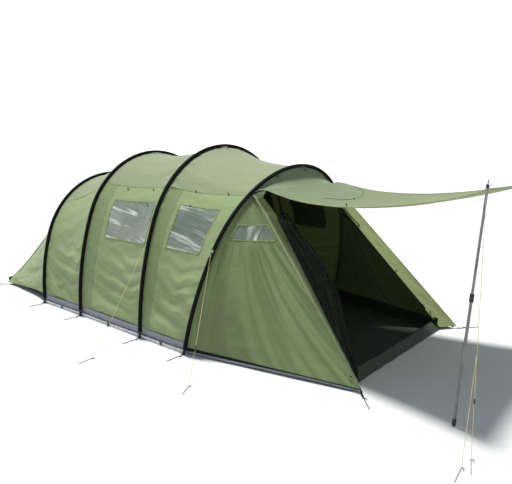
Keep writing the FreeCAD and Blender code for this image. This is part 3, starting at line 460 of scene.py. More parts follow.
def hanging(n, kind):
    """Height of broad folds, 0 to 1: "swag" curves low across a wall, "fall" runs down a panel."""
    across, height, _ = n.split()
    if kind == "swag":
        offset = n.minus(across, 0.66)
        line = n.times(n.minus(height, n.times(n.times(offset, offset), 0.55)), 7.0)
        spot = {0: n.times(across, 0.9), 1: line, 2: 0.4}
        reach = n.times(n.span(height, 0.62, 1.0, 0.72, 0.10), n.span(across, 0.0, 0.3, 0.2, 1.0))
    else:
        lean = n.times(across, n.plus(n.times(height, 0.35), 1.0))
        spot = {0: n.times(lean, 8.0), 1: n.times(height, 0.9), 2: 3.3}
        reach = n.span(height, 1.05, 1.20, 1.0, 0.3)
    place_on = n.add("ShaderNodeCombineXYZ", spot).outputs[0]
    folds = n.noise(1.0, 1.0, vector=place_on, distortion=0.15)
    return n.plus(n.times(n.minus(n.span(folds, 0.32, 0.68), 0.5), reach), 0.5)


def fabric(name, color, through=0.10, roughness=0.68, crease=0.5, period=0.0012, seams=(), lining=0.14,
           patch=None, folds=None):
    """Coated tent cloth: mottled dye, thread relief, small creases and light passing through.

    seams are positions along the sheet up to which the cloth beside a hoop gets a band of painted shade,
    and where it is stitched; lining is how bright the coated inner side is painted beside the outer, as
    painted shade;
    patch is the colour of a half-round piece let into the sheet at its start;
    folds names the broad folds that it hangs in, with painted shade in their hollows and painted highlight on
    their crests.
    """
    n = Shader(name)
    grain = n.noise(55.0, 4.0)
    colour = n.blend(n.span(n.noise(0.9, 5.0), 0.3, 0.7, kind="LINEAR"), rgba(color, 0.93), rgba(color, 1.06))
    colour = n.blend(n.span(grain, 0.35, 0.65, 0.0, 0.35, "LINEAR"), colour, rgba(color, 0.86))
    across, up, _ = n.split()
    for at in seams:
        # painted shade: the cloth between the hoop and the seam is darkened, where it turns in from the light
        painted_shade_band = n.span(across, at, at + 0.004, 1.0, 0.0)
        colour = n.blend(n.times(painted_shade_band, 0.55), colour, rgba(color, 0.66))
        near = n.math("ABSOLUTE", n.minus(across, at))
        stitch = n.math("SINE", n.times(up, math.tau / 0.042))
        dots = n.times(n.span(near, 0.002, 0.005, 1.0, 0.0), n.span(stitch, -0.2, 0.3, 0.15, 1.0))
        colour = n.blend(n.times(dots, 0.75), colour, rgba(color, 0.28))
    if patch:
        rim = n.plus(n.math("POWER", n.math("DIVIDE", across, 0.24), 2.0), n.times(up, up))
        colour = n.blend(n.span(rim, 0.985, 1.0, 1.0, 0.0), colour, rgba(patch))
        seam = n.span(n.math("ABSOLUTE", n.minus(rim, 1.0)), 0.02, 0.05, 0.55, 0.0)
        colour = n.blend(seam, colour, rgba(patch, 0.35))
    if folds:
        hung = hanging(n, folds)
        # painted shade in the folds' hollows and painted highlight on their crests
        colour = n.blend(n.span(hung, 0.05, 0.5, 0.20, 0.0), colour, rgba(color, 0.45))
        colour = n.blend(n.span(hung, 0.55, 0.95, 0.0, 0.17), colour, rgba(color, 1.9))
    # painted shade: the inner side of the cloth is darkened to the lining share of its colour, for the dark
    # inside of the tent
    colour = n.blend(n.facing(), colour, rgba(color, lining))
    normal = n.bump(n.noise(7.0, 6.0, roughness=0.55, distortion=0.6), crease, 0.02)
    if folds:
        normal = n.bump(hung, 0.8, 0.022, normal)
    normal = n.bump(n.noise(38.0, 3.0), crease * 0.4, 0.004, normal)
    normal = n.weave(period, normal)
    cloth = n.surface(colour, n.span(grain, 0.3, 0.7, roughness - 0.06, roughness + 0.08), Normal=normal,
                      Sheen_Weight=0.12, Sheen_Roughness=0.5, Specular_IOR_Level=0.35)
    glow = n.blend(0.6, colour, rgba((color[0] * 1.05, color[1] * 1.05, color[2] * 0.6)))
    back = n.add("ShaderNodeBsdfTranslucent", {"Color": glow, "Normal": normal})
    return n.finish(n.join(through, cloth, back.outputs[0]))


def webbing(name, color, period=0.0016):
    """Woven tape: ribs across, edges slightly worn."""
    n = Shader(name)
    wear = n.noise(24.0, 5.0)
    colour = n.blend(n.span(wear, 0.42, 0.72), rgba(color), rgba(color, 1.35))
    normal = n.bump(n.noise(90.0, 2.0), 0.25, 0.001, n.weave(period, strength=0.6))
    return n.finish(n.surface(colour, n.span(wear, 0.3, 0.7, 0.75, 0.87), Normal=normal,
                              Specular_IOR_Level=0.22))


def moulded(name, color, roughness=0.45):
    """Moulded plastic: faint flow marks and a fine satin texture."""
    n = Shader(name)
    flow = n.noise(18.0, 4.0, distortion=1.0)
    colour = n.blend(n.span(flow, 0.3, 0.7), rgba(color, 0.85), rgba(color, 1.2))
    return n.finish(n.surface(colour, n.span(flow, 0.3, 0.7, roughness - 0.08, roughness + 0.08),
                              Normal=n.bump(n.noise(700.0, 2.0), 0.15, 0.0003)))


def metal(name, color, roughness=0.35):
    """Drawn or plated metal: long fine marks and dull patches."""
    n = Shader(name)
    marks = n.noise(1.0, 4.0, vector=n.stretched((160.0, 160.0, 6.0)))
    patches = n.noise(9.0, 3.0)
    colour = n.blend(n.span(patches, 0.35, 0.7), rgba(color), rgba(color, 0.78))
    return n.finish(n.surface(colour, n.span(patches, 0.3, 0.7, roughness - 0.05, roughness + 0.12),
                              Metallic=0.85, Normal=n.bump(marks, 0.12, 0.0004)))


def film(name):
    """Clear flexible window film: hazy and creased, with painted glare along its creases and its lower edge.
    """
    n = Shader(name)
    turned = n.add("ShaderNodeMapping", {"Vector": n.place, "Rotation": (math.radians(-9), 0, 0)}).outputs[0]
    _, y, z = n.split(n.place)
    front = n.span(y, -1.16, -1.15, 1.0, 0.0)
    across = n.noise(1.0, 3.0, vector=n.stretched((0.6, 1.3, 15.0), turned), distortion=0.5)
    streak = n.noise(1.0, 2.0, vector=n.stretched((0.6, 26.0, 2.0)), distortion=0.4)
    down = n.times(streak, n.times(n.span(y, -1.50, -1.42), n.span(y, -1.30, -1.20, 1.0, 0.55)))
    creases = n.add("ShaderNodeMix", {0: front, 2: across, 3: down}).outputs[0]
    # painted glare along the lower edge of the side windows
    low = n.times(n.span(z, 1.03, 1.13, 0.10, 0.0), n.minus(1.0, front))
    glare = n.span(n.plus(creases, low), 0.52, 0.70)
    haze = n.span(n.noise(2.2, 3.0), 0.35, 0.65)
    # the pale tone is the film's haze and painted reflection of the sky
    colour = n.blend(haze, rgba((0.17, 0.225, 0.17)), rgba((0.25, 0.31, 0.25)))
    # painted glare on the creases and along the lower edge
    colour = n.blend(n.times(glare, 0.7), colour, rgba((0.80, 0.84, 0.82)))
    # painted shade: the inner side of the film is dark, for the dark inside of the tent
    inner = n.facing()
    colour = n.blend(inner, colour, rgba((0.050, 0.066, 0.030)))
    skin = n.surface(colour, n.span(inner, 0.0, 1.0, 0.16, 0.75), Normal=n.bump(creases, 0.35, 0.012),
                     Specular_IOR_Level=0.7)
    clear = n.add("ShaderNodeBsdfTransparent", {"Color": rgba((0.86, 0.9, 0.86))})
    cover = n.math("ADD", n.times(glare, 0.2), n.plus(n.times(inner, 0.24), 0.76), clamp=True)
    return n.finish(n.join(cover, clear.outputs[0], skin))


def mesh_cloth(name, color):
    """Fine insect mesh and curtain cloth: part see-through, with painted highlights down its pleats."""
    n = Shader(name)
    stretch = n.stretched((34.0, 1.6, 1.0), n.add("ShaderNodeUVMap").outputs[0])
    streak = n.noise(1.0, 2.0, vector=stretch, distortion=0.15)
    # painted highlights: pale streaks down the pleats
    colour = n.blend(n.span(streak, 0.54, 0.70), rgba(color), rgba(color, 4.0))
    cloth = n.surface(colour, 0.8, Normal=n.weave(0.0018, strength=0.5))
    clear = n.add("ShaderNodeBsdfTransparent").outputs[0]
    return n.finish(n.join(n.span(streak, 0.3, 0.7, 0.72, 0.95), clear, cloth))


WALL = (0.252, 0.334, 0.146)
ROOF = (0.246, 0.300, 0.166)
# PORCH is the wall green darkened, as painted shade for the steep porch panels
PORCH = (0.160, 0.216, 0.088)
AWNING = (0.235, 0.285, 0.145)
MATERIALS = {
    "wall": fabric("wall cloth", WALL, through=0.05, folds="swag"),
    "wall_seamed": fabric("wall cloth, seamed", WALL, through=0.05, seams=(SEAM_SHARE,), folds="swag"),
    "roof": fabric("roof cloth", ROOF, through=0.07, crease=0.22),
    "porch": fabric("porch cloth", PORCH, through=0.04, crease=0.3, folds="fall"),
    # the two front strips are lit and shaded copies of one cloth: painted light on the brighter far strip,
    # painted shade on the near one
    "far_strip_painted_light": fabric("far strip cloth, painted light", (0.300, 0.360, 0.150), through=0.22, lining=0.5),
    "near_strip_painted_shade": fabric("near strip cloth, painted shade", (0.175, 0.225, 0.096), through=0.05, lining=0.5),
    "awning": fabric("awning cloth", AWNING, through=0.30, crease=0.4, lining=0.8,
                     patch=(0.226, 0.298, 0.170)),
    "header": fabric("header cloth", (0.222, 0.292, 0.168), crease=0.3),
    "sill": fabric("sill cloth", (0.024, 0.040, 0.022), through=0.05, roughness=0.6),
    "mud": fabric("mud wall cloth", (0.250, 0.262, 0.310), through=0.05, roughness=0.55),
    "inner": fabric("inner tent cloth", (0.060, 0.062, 0.032), through=0.1, roughness=0.8),
    "floor_sheet": fabric("floor sheet", (0.012, 0.020, 0.013), through=0.0, lining=1.0, roughness=0.5,
                          period=0.0025),
    "mesh": mesh_cloth("door mesh", (0.016, 0.024, 0.016)),
    "film": film("window film"),
    "black_tape": webbing("black webbing", (0.005, 0.0055, 0.005)),
    "green_tape": webbing("green binding", (0.195, 0.250, 0.112)),
    "grey_tape": webbing("grey webbing", (0.52, 0.54, 0.55)),
    "plastic": moulded("black plastic", (0.012, 0.012, 0.013)),
    "rod": moulded("fibreglass rod", (0.018, 0.019, 0.018), 0.3),
    "zinc": metal("plated steel", (0.46, 0.46, 0.47)),
    "prop": metal("grey prop tube", (0.20, 0.20, 0.205), 0.38),
    "dark_metal": metal("dark peg steel", (0.06, 0.06, 0.062), 0.4),
    "cord": webbing("guy cord", (0.62, 0.56, 0.27), 0.001),
}


def paint(item, material):
    item.data.materials.clear()
    item.data.materials.append(MATERIALS[material])
    return item


def place(item, material, replaces=(), body="tent"):
    """Give a new piece its finish, its body and the CAD nodes that it stands for."""
    paint(item, material)
    if body is not None:
        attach(item, body)
    if replaces:
        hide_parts(*replaces)
    return item


# ---- cloth simulation
SPARE_CLOTH = 0.06
DRAPE_FRAMES = 22
CLOTH = {
    "quality": 5, "mass": 0.12, "tension_stiffness": 20, "compression_stiffness": 20, "shear_stiffness": 8,
    "tension_damping": 12, "compression_damping": 12, "shear_damping": 12, "bending_damping": 1.0,
    "air_damping": 3, "vertex_group_mass": "hold", "vertex_group_shrink": "spare",
    "shrink_min": 0.0, "shrink_max": -SPARE_CLOTH,
}


def drape(points, pinned, slack, bending=0.6, cap=0.03, seed=1):
    """Let a sheet hang from its pinned points and return where it settles.

    pinned and slack hold one value a point: how firmly it is held, and its share of the spare cloth.
    """
    rows, cols = points.shape[:2]
    unevenness = np.random.default_rng(seed).normal(0, 0.0012, (rows, cols, 1))
    start = points + surface_normals(points) * (unevenness * (1 - pinned[..., None]))
    item = grid_object("drape", start, levels=0)
    hold = item.vertex_groups.new(name="hold")
    spare = item.vertex_groups.new(name="spare")
    for index, (firm, loose) in enumerate(zip(pinned.ravel(), slack.ravel())):
        if firm > 0:
            hold.add([index], float(firm), "REPLACE")
        spare.add([index], float(loose), "REPLACE")
    cloth = item.modifiers.new("cloth", "CLOTH")
    for key, value in CLOTH.items():
        setattr(cloth.settings, key, value)
    cloth.settings.bending_stiffness = bending
    cloth.point_cache.frame_start = 1
    cloth.point_cache.frame_end = DRAPE_FRAMES
    for step in range(1, DRAPE_FRAMES + 1):
        SCENE.frame_set(step)
    settled = item.evaluated_get(bpy.context.evaluated_depsgraph_get())
    co = np.empty(rows * cols * 3, np.float32)
    settled.data.vertices.foreach_get("co", co)
    SCENE.frame_set(1)
    bpy.data.objects.remove(item)
    shift = co.reshape(rows, cols, 3).astype(float) - points
    length = np.linalg.norm(shift, axis=2, keepdims=True)
    return points + shift * (cap * np.tanh(length / cap) / np.maximum(length, 1e-9))


def held_edges(points):
    """Pin map of a grid: 1 along its edges, 0 inside."""
    pinned = np.ones(points.shape[:2])
    pinned[1:-1, 1:-1] = 0
    return pinned


def no_cells(points):
    """Map of a grid's cells with none of them picked."""
    return np.zeros([count - 1 for count in points.shape[:2]], bool)


def cells_between(marks, low, high):
    """Which cells between successive marks lie from low to high."""
    return (marks[:-1] >= low - 1e-6) & (marks[1:] <= high + 1e-6)


def sheet(name, points, uv, material, flat, replaces=(), keep=None, body="tent", area=None,
          levels=1):
    """A cloth piece; flat, the width and length of its cut or the grid on which they are measured, is not
    used.
    """
    if isinstance(flat, np.ndarray):
        flat, area = cut_size(flat), cell_area(flat, keep)
    item = grid_object(name, points, uv, keep, levels)
    place(item, material, replaces, body)
    return item


def cut_size(points):
    """Width and length of the flat cut that a sheet is sewn from, to the centimetre above."""
    width = np.linalg.norm(np.diff(points, axis=1), axis=2).sum(axis=1).max()
    length = np.linalg.norm(np.diff(points, axis=0), axis=2).sum(axis=0).max()
    return math.ceil(width * 100) / 100, math.ceil(length * 100) / 100


def cell_area(points, keep=None):
    """Area of the kept cells of a grid of points."""
    a = points[1:, :-1] - points[:-1, :-1]
    b = points[:-1, 1:] - points[:-1, :-1]
    areas = np.linalg.norm(np.cross(a, b), axis=2)
    return float((areas if keep is None else areas * keep).sum())


# ---- tunnel bays
def bay_columns(bay):
    """Shares of a bay from its rear hoop, with lines at the seam and the window's ends."""
    rear, front = (ARCHES[number] for number in BAYS[bay])
    if bay not in WINDOWS:
        return even(37), None
    y = [arch.at(1, sum(WINDOW_HEIGHTS) / 2)[1] for arch in (rear, front)]
    first, last = [(y[0] - end) / (y[0] - y[1]) for end in WINDOWS[bay]]
    marks = steps((0, 8), (SEAM_SHARE, 4), (first, 24), (last, 5), 1.0)
    return marks, (first, last)


def wall_rows(eave):
    """Shares of a leg from hem to eave, with lines at the window's sill and head."""
    low, high = [(height - HEM) / (eave - HEM) for height in WINDOW_HEIGHTS]
    return steps((0, 26), (low, 12), (high, 5), 1.0), (low, high)


WINDOW_PANES = {"left": [], "right": []}
SEAM_PATHS, SEAM_SIDES = [], []
SURFACES = {}
for seed, (bay, (rear_number, front_number)) in enumerate(BAYS.items()):
    rear, front = ARCHES[rear_number], ARCHES[front_number]
    columns, window = bay_columns(bay)
    shares, window_rows = wall_rows((rear.eave + front.eave) / 2)
    first, last = rear.outline(shares), front.outline(shares)
    points = design = loft(first, last, columns)
    rows, cols = points.shape[:2]
    wall = len(shares)
    height = points[..., 2]
    s = np.broadcast_to(columns, (rows, cols))
    inward = -surface_normals(points, (points - (0.0, 0.0, 0.9)) * (1, 0, 1))
    length = abs(rear.station - front.station)
    # the sheet saddles between its hoops, most at the shoulders, and is drawn in beside the rear hoop
    bow = hump(s)
    low = smooth(0.9, 0.2, height)
    depth = bow * mix(*SADDLE, low) * min(1.0, length)
    if window:
        beside = smooth(0.0, SEAM_SHARE, s) * (1 - smooth(0.2, 0.9, s))
        depth = depth + DRAWN_IN * beside * smooth(0.12, 0.4, height)
    # small puckers along the sleeves
    arc = girth(first)
    edge = np.minimum(s, 1 - s) * length
    gather = np.exp(-((edge - 0.035) / 0.03) ** 2)
    depth = depth + gather * PUCKER * np.sin(math.tau * arc / 0.10 + 2.5 * ripple(arc, s * 0.3, 7 + seed))
    # swags that hang in the lower walls
    lower = smooth(1.0, 0.75, height) * smooth(0.12, 0.3, height) * (1 - smooth(0.0, 0.06, 0.06 - edge))
    fall = height - 0.48 * (s - 0.70) ** 2 + 0.04 * ripple(s, height * 0.5, 20 + seed)
    swag = ridge(math.pi * fall / 0.17 + 0.5 * ripple(s, height, 31 + seed, low=0.4, high=1.0), 0.6)
    swag = swag * smooth(0.12, 0.6, s) * smooth(1.0, 0.85, s) \
        * (0.75 + 0.25 * ripple(s, height, 36 + seed, low=0.4, high=1.0))
    depth = depth - SWAG_DEPTH * lower * swag
    depth = depth + 0.007 * bow * ripple(s * 1.2, height, 43 + seed, low=0.5, high=1.6)
    points = points + inward * depth[..., None]
    # simulate the spare cloth
    slack = mix(0.10, 0.65, smooth(1.35, 0.8, height)) * (0.6 + 0.4 * bow)
    points = drape(points, held_edges(points), slack, bending=0.9, cap=0.022, seed=seed + 1)
    uv = stack(s, height)
    # share out its cells: two walls, their windows, and the roof between the seams at the eaves
    row = np.arange(rows - 1)[:, None]
    wall_cells = {"left": row < wall - 1, "right": row >= rows - wall}
    glass = no_cells(points)
    if window:
        panes = cells_between(shares, *window_rows)[:, None] & cells_between(columns, *window)
        glass[:wall - 1] = panes
        glass[1 - wall:] = panes[::-1]
    for side_name, on_side in wall_cells.items():
        keep = on_side & ~glass
        sheet("wall_%s_%s_cloth" % (bay, side_name), points, uv, "wall_seamed" if window else "wall",
              cut_size(design[:wall]),
              ["wall_panel_%s_%s" % (bay, side_name)], keep, area=cell_area(design, keep))
        if window:
            WINDOW_PANES[side_name].append((points, uv, glass & on_side))
    keep = ~(wall_cells["left"] | wall_cells["right"]) & ~glass
    sheet("roof_%s_cloth" % bay, points, uv, "roof",
          cut_size(design[wall - 1:rows - wall + 1]), ["roof_panel_" + bay], keep,
          area=cell_area(design, keep))
    for line in (wall - 1, rows - wall):
        SEAM_PATHS.append(points[line] - inward[line] * SEAM_LIFT)
        SEAM_SIDES.append(-inward[line])
    SURFACES[bay] = (points, -inward, columns)


# ---- points on the finished walls
def wall_spot(bay, side, share, height):
    """Point and outward direction on a bay's settled wall, at a share from its rear hoop and a height."""
    points, outward, columns = SURFACES[bay]
    col = int(np.abs(columns - share).argmin())
    half = points.shape[0] // 2
    rows = np.arange(half) if side < 0 else np.arange(half, points.shape[0])
    row = rows[np.abs(points[rows, col, 2] - height).argmin()]
    return points[row, col], outward[row, col]


FOLD = ((*FRONT, FOOT), FOLD_HEAD)
JAMB = ((*JAMB_FOOT[:2], FOOT), JAMB_WAIST)
JAMB_RUN = np.array(JAMB_WAIST) - (*JAMB_FOOT[:2], 0.0)
FOLD_SHARE = 0.86
PORCH_WINDOW = (1.185, 1.330)
front_arch = ARCHES[4]


def strip_point(side, share, reach, lift):
    """Point on the front strip: a share up the jamb, a reach in from its edge, lifted off it."""
    jamb = between(JAMB, share)
    across = unit(between(FOLD, share * FOLD_SHARE) - jamb)
    normal = unit(np.cross(JAMB_RUN, across))
    normal *= -np.sign(normal[1])
    return mirrored(jamb + across * reach + normal * lift, side)


# ---- vestibule
hoop_heights = steps((0.070, 26), (PORCH_WINDOW[0], 6), (PORCH_WINDOW[1], 8), front_arch.eave)
fold_heights = hoop_heights - 0.036 * (1 - smooth(0.070, 0.6, hoop_heights)) \
    - 0.040 * smooth(1.35, front_arch.eave, hoop_heights)
PORCH_EDGE = (6, 38)
for side_name, side in SIDES.items():
    hoop_edge = np.array([front_arch.at(side, height) for height in hoop_heights])
    fold_edge = [between(FOLD, (height - FOOT) / (FOLD_HEAD[2] - FOOT)) for height in fold_heights]
    fold_edge = mirrored(fold_edge, side)
    width = np.linalg.norm(fold_edge - hoop_edge, axis=1)
    near, far = np.clip(0.095 / width, 0.03, 0.40), 1 - np.clip(0.028 / width, 0.012, 0.12)
    warp = np.array([np.interp(np.arange(41), (0, *PORCH_EDGE, 40), (0, a, b, 1))
                     for a, b in zip(near, far)])
    flat_porch = loft(hoop_edge, fold_edge, warp)
    normal = surface_normals(flat_porch, (side, 0, 0))
    height = flat_porch[..., 2]
    bow = hump(warp)
    down = smooth(1.19, 0.25, height)
    fan = 15 * warp + 0.9 * ripple(warp, height * 0.5, 61, low=0.3, high=1.0)
    strength = 0.55 + 0.45 * ripple(warp * 2, height * 0.3, 63, low=0.4, high=1.0)
    pleat = ridge(fan, 0.55) * smooth(1.22, 1.08, height) * (0.15 + 0.85 * smooth(0.1, 0.95, height)) \
        * bow * strength
    shape = -bow * 0.026 * smooth(0.05, 0.6, height) + PLEAT_HEIGHT * pleat
    shape = shape + 0.006 * bow * ripple(warp * 1.5, height * 0.9, 65, low=0.5, high=1.4) * down
    glare = np.sin(38 * warp + 1.5 * ripple(warp, height, 66)) * 0.003
    shape = shape + glare * bow * smooth(1.15, 1.2, height) * smooth(1.36, 1.32, height)
    porch = flat_porch + normal * shape[..., None]
    porch = drape(porch, held_edges(porch), 0.7 * bow, cap=0.022, bending=0.35, seed=70)
    uv = stack(warp, height)
    glass = no_cells(porch)
    glass[cells_between(hoop_heights, *PORCH_WINDOW), slice(*PORCH_EDGE)] = True
    sheet("vestibule_side_%s_cloth" % side_name, porch, uv, "porch",
          flat_porch, ["vestibule_side_%s" % side_name], ~glass)
    WINDOW_PANES[side_name].append((porch, uv, glass))
    SURFACES["porch_" + side_name] = (porch, normal, warp)

    # front strip beside the doorway, folded back along the fold
    shares = even(27)
    jamb_edge = [between(JAMB, share) for share in shares]
    crease = [between(FOLD, share * FOLD_SHARE) for share in shares]
    for share in even(7)[1:]:
        jamb_edge.append(between((JAMB_WAIST, JAMB_HEAD), share))
        crease.append(between(FOLD, mix(FOLD_SHARE, 1.0, share)))
    jamb_edge, crease = mirrored(jamb_edge, side), mirrored(crease, side)
    spread = even(9)[None]
    strip_flat = loft(jamb_edge, crease, spread)
    normal = surface_normals(strip_flat, (0, -1, 0))
    level = strip_flat[..., 2]
    wave = 0.006 * np.sin(9 * level + 2 * ripple(level, spread, 81)) - 0.012
    strip = strip_flat + normal * (wave * hump(spread))[..., None]
    uv = stack(spread, level)
    # the far strip gets the painted-light copy of the cloth, the near strip the painted-shade copy
    sheet("vestibule_front_%s_cloth" % side_name, strip, uv, "far_strip_painted_light" if side > 0 else "near_strip_painted_shade",
          strip_flat, ["vestibule_front_%s" % side_name])
    lift = normal[:, 0] * 0.0015
    piping = join("door_edge_binding_" + side_name, [
        strap("door_edge", jamb_edge + lift, normal[:, 0], *TAPE["door"]),
        strap("hem_piping", porch[0] + (side * 0.002, 0, 0), (side, 0, 0), *TAPE["piping"])])
    place(piping, "black_tape")
    welt = tube("fold_welt_" + side_name, crease + normal[:, -1] * 0.001, 0.0026, 8)
    place(welt, "green_tape")

    # corner piece that closes the head of the doorway up to the hinge
    upper = [mirrored((HINGE[0], HINGE_BACK, HINGE[2]), side), front_arch.at(side, front_arch.eave)]
    lower = [mirrored(JAMB_HEAD, side), mirrored(FOLD_HEAD, side)]
    head = np.array([[mix(between(lower, share), between(upper, share), up) for up in even(7)]
                     for share in even(13)])
    head[..., 1] -= 0.006 * np.sin(np.linspace(0, math.pi, 7))[None]
    head[:, 0, 2] -= 0.004
    sheet("doorway_corner_%s_cloth" % side_name, head, head[..., ::2].copy(), "header",
          head)

# ---- windows
for side_name, panes in WINDOW_PANES.items():
    side = SIDES[side_name]
    films, edges, area = [], [], 0.0
    for points, uv, keep in panes:
        films.append(grid_object("pane", points, uv, keep, 1))
        area += cell_area(points, keep)
        row, col = np.nonzero(keep)
        top, bottom, first, last = row.max() + 1, row.min(), col.min(), col.max() + 1
        outward = np.array((side * 0.9, 0, 0.35))
        for line in (points[bottom, first:last + 1], points[bottom:top + 1, last],
                     points[top, first:last + 1][::-1], points[bottom:top + 1, first][::-1]):
            edges.append(strap("rim", line + outward * 0.0016, outward, *TAPE["window"], 0))
    clear = join("window_film_" + side_name, films)
    place(clear, "film", ["windows_" + side_name])
    place(join("window_binding_" + side_name, edges), "green_tape")

# ---- rear end
shares = even(GUSSET + 1)
hoop_side = ARCHES[1].outline(shares)
corner = [between(((-REAR[0], REAR[1], FOOT), (-1.000, REAR[1], 0.110)), share) for share in shares]
edge = [(mix(-1.0, 0.0, k / 22), REAR[1], 0.110) for k in range(1, 23)]
ground_side = whole(corner + edge)
columns = even(37)
rear_flat = loft(hoop_side, ground_side, columns)
normal = surface_normals(rear_flat, rear_flat - (0, 2.2, 0.4))
s = np.broadcast_to(columns, rear_flat.shape[:2])
bow = hump(s)
around = girth(hoop_side)
pucker = 0.004 * np.exp(-((s - 0.03) / 0.03) ** 2) * np.sin(math.tau * around / 0.12 + ripple(around, s, 91))
shape = -REAR_DIP * bow + pucker + 0.006 * bow * ripple(s * 1.6, around * 0.7, 93, low=0.4, high=1.2)
rear_cloth = rear_flat + normal * shape[..., None]
rear_cloth = drape(rear_cloth, held_edges(rear_cloth), 0.7 * bow, cap=0.03, seed=95)
uv = stack(s, rear_flat[..., 2])
gusset = no_cells(rear_cloth)
gusset[:GUSSET] = True
for side_name, keep, part in (("left", gusset, rear_flat[:GUSSET + 1]),
                              ("right", gusset[::-1], rear_flat[-GUSSET - 1:])):
    sheet("rear_gusset_%s_cloth" % side_name, rear_cloth, uv, "wall",
          cut_size(part), ["rear_gusset_" + side_name], keep, area=cell_area(rear_flat, keep))
slope = ~(gusset | gusset[::-1])
sheet("rear_slope_cloth", rear_cloth, uv, "roof",
      cut_size(rear_flat[GUSSET:-GUSSET]), ["rear_slope_panel"], slope, area=cell_area(rear_flat, slope))
for line in (GUSSET, -GUSSET - 1):
    SEAM_PATHS.append(rear_cloth[line] + normal[line] * SEAM_LIFT)
    SEAM_SIDES.append(normal[line])

# ---- header over the doorway
ACROSS = 57
crown_line = front_arch.over(front_arch.tilt_at(front_arch.eave), ACROSS)
hinge_line = stack(mix(-HINGE[0], HINGE[0], even(ACROSS)), HINGE_BACK, HINGE[2])
drop = even(15)[None]
header_flat = loft(crown_line, hinge_line, drop)
normal = surface_normals(header_flat, (0, -1, 0))
across = np.linspace(-1, 1, ACROSS)[:, None]
belly = 0.022 * hump(drop) + 0.004 * np.sin(26 * across + 2) * np.exp(-((drop - 0.06) / 0.1) ** 2)
header = header_flat + normal * (-belly)[..., None]
uv = stack(across * 0.5 + 0.5, header_flat[..., 2])
sheet("header_cloth", header, uv, "header", header_flat, ["header_panel"])
SURFACES["header"] = (header, normal, across)

# ---- awning: the raised door
LONG = 61
run = even(LONG)[None]
wide = np.linspace(-1, 1, ACROSS)[:, None]
profile_y = mix(HINGE[1] - 0.004, AWNING_HEM[1], run)
# height along the sheet, from the hinge through the slack just in front of it to the hem
sag_at, sag_height = (0, 0.08, 0.22, 0.40, 0.57, 0.78, 1.0), (1.652, 1.606, 1.584, 1.575, 1.597, 1.675, 1.795)
profile_z = np.polyval(np.polyfit(sag_at, sag_height, 4), run)
profile_z = profile_z + (HINGE[2] - profile_z[0, 0]) * (1 - run) ** 6
half = mix(HINGE[0], AWNING_HEM[0], run) - 0.035 * hump(run)
bow = 1 - wide ** 2
awning_flat = stack(wide * mix(HINGE[0], AWNING_HEM[0], run), profile_y, profile_z)
tension = np.exp(-((np.abs(wide) - 1 + 0.32 * (1 - run)) / 0.10) ** 2) * smooth(0.45, 1.0, run)
folds = 0.014 * tension * np.sin(34 * np.abs(wide) + 9 * run)
edge_roll = 0.012 * smooth(0.90, 1.0, np.abs(wide)) * smooth(0.02, 0.2, run)
flutter = 0.006 * ripple(wide * 1.1, run * 1.6, 101, low=0.4, high=1.2) * bow
lip = AWNING_DIP * bow * smooth(0.75, 1.0, run)
awning_z = profile_z + (flutter - AWNING_DIP * bow) * hump(run) - lip + folds * (1 - run ** 8) - edge_roll
awning = stack(wide * half, profile_y + AWNING_DIP * bow * smooth(0.8, 1.0, run), awning_z)
pinned = np.zeros((ACROSS, LONG))
pinned[:, 0] = 1
pinned[0, -2:] = pinned[-1, -2:] = 1
pinned[:, -1] = np.maximum(pinned[:, -1], 0.9)
pinned[0] = np.maximum(pinned[0], 0.35)
pinned[-1] = np.maximum(pinned[-1], 0.35)
awning = drape(awning, pinned, 0.25 * bow * np.ones_like(run), cap=0.03, bending=1.0, seed=103)
uv = stack(run, wide)
awning_item = sheet("awning_cloth", awning, uv, "awning", awning_flat,
                    ["awning_panel"], body=None)
edge_binding = join("awning_edge_binding", [
    strap("edge_binding", awning[row] + (0.0, 0.0, 0.0005), (0, 0, 1), *TAPE["awning edge"])
    for row in (0, -1)])
place(edge_binding, "green_tape", body=None)
for item in (awning_item, edge_binding):
    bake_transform(item)
hem_band = strap("awning_hem_webbing", awning[:, -1] + (0, 0.012, 0.0), (0, 0, 1), *TAPE["awning hem"])
place(hem_band, "green_tape", ["awning_hem"], body="awning")
hinge_tape = strap("hinge_seam_tape", hinge_line[1:-1] + (0, 0.004, 0.003), (0, -0.5, 1), *TAPE["hinge"])
place(hinge_tape, "green_tape")

# ---- seam bindings
seams = [strap("seam", path, up, *TAPE["seam"], 0) for path, up in zip(SEAM_PATHS, SEAM_SIDES)]
place(join("seam_bindings", seams), "green_tape")
bands = []
for arch in ARCHES.values():
    line = arch.over(arch.tilt_at(0.075), 90, 0.0198)
    out = line - (0, arch.station + 0.5 * math.sin(arch.slope) * arch.rise, 0.3)
    bands.append(strap("band", line, out * (1, 0, 1), *TAPE["sleeve"], 0))
place(join("sleeve_bindings", bands), "black_tape")

# ---- inner tent
INNER = (  # station, half width at the floor, shoulder height, top height, half width of the top
    (1.110, 1.236, 1.180, 1.590, 0.430),
    (2.030, 1.208, 0.950, 1.476, 0.430),
    (3.160, 0.995, 0.150, 0.250, 0.600),
)


def inner_section(half_width, shoulder, top, crown):
    """Half of the inner tent's cross-section from floor to middle, slightly slack between its corners."""
    marks = np.array([(half_width, 0.006), (half_width * 0.84, shoulder), (crown, top), (0, top - 0.012)])
    line = []
    for (start, end), count in zip(zip(marks, marks[1:]), (16, 12, 8)):
        for share in np.linspace(0, 1, count, endpoint=False):
            bulge = hump(share) * 0.02 * np.array((-1, -0.4))
            line.append(start + (end - start) * share + bulge)
    return np.array(line + [marks[-1]])


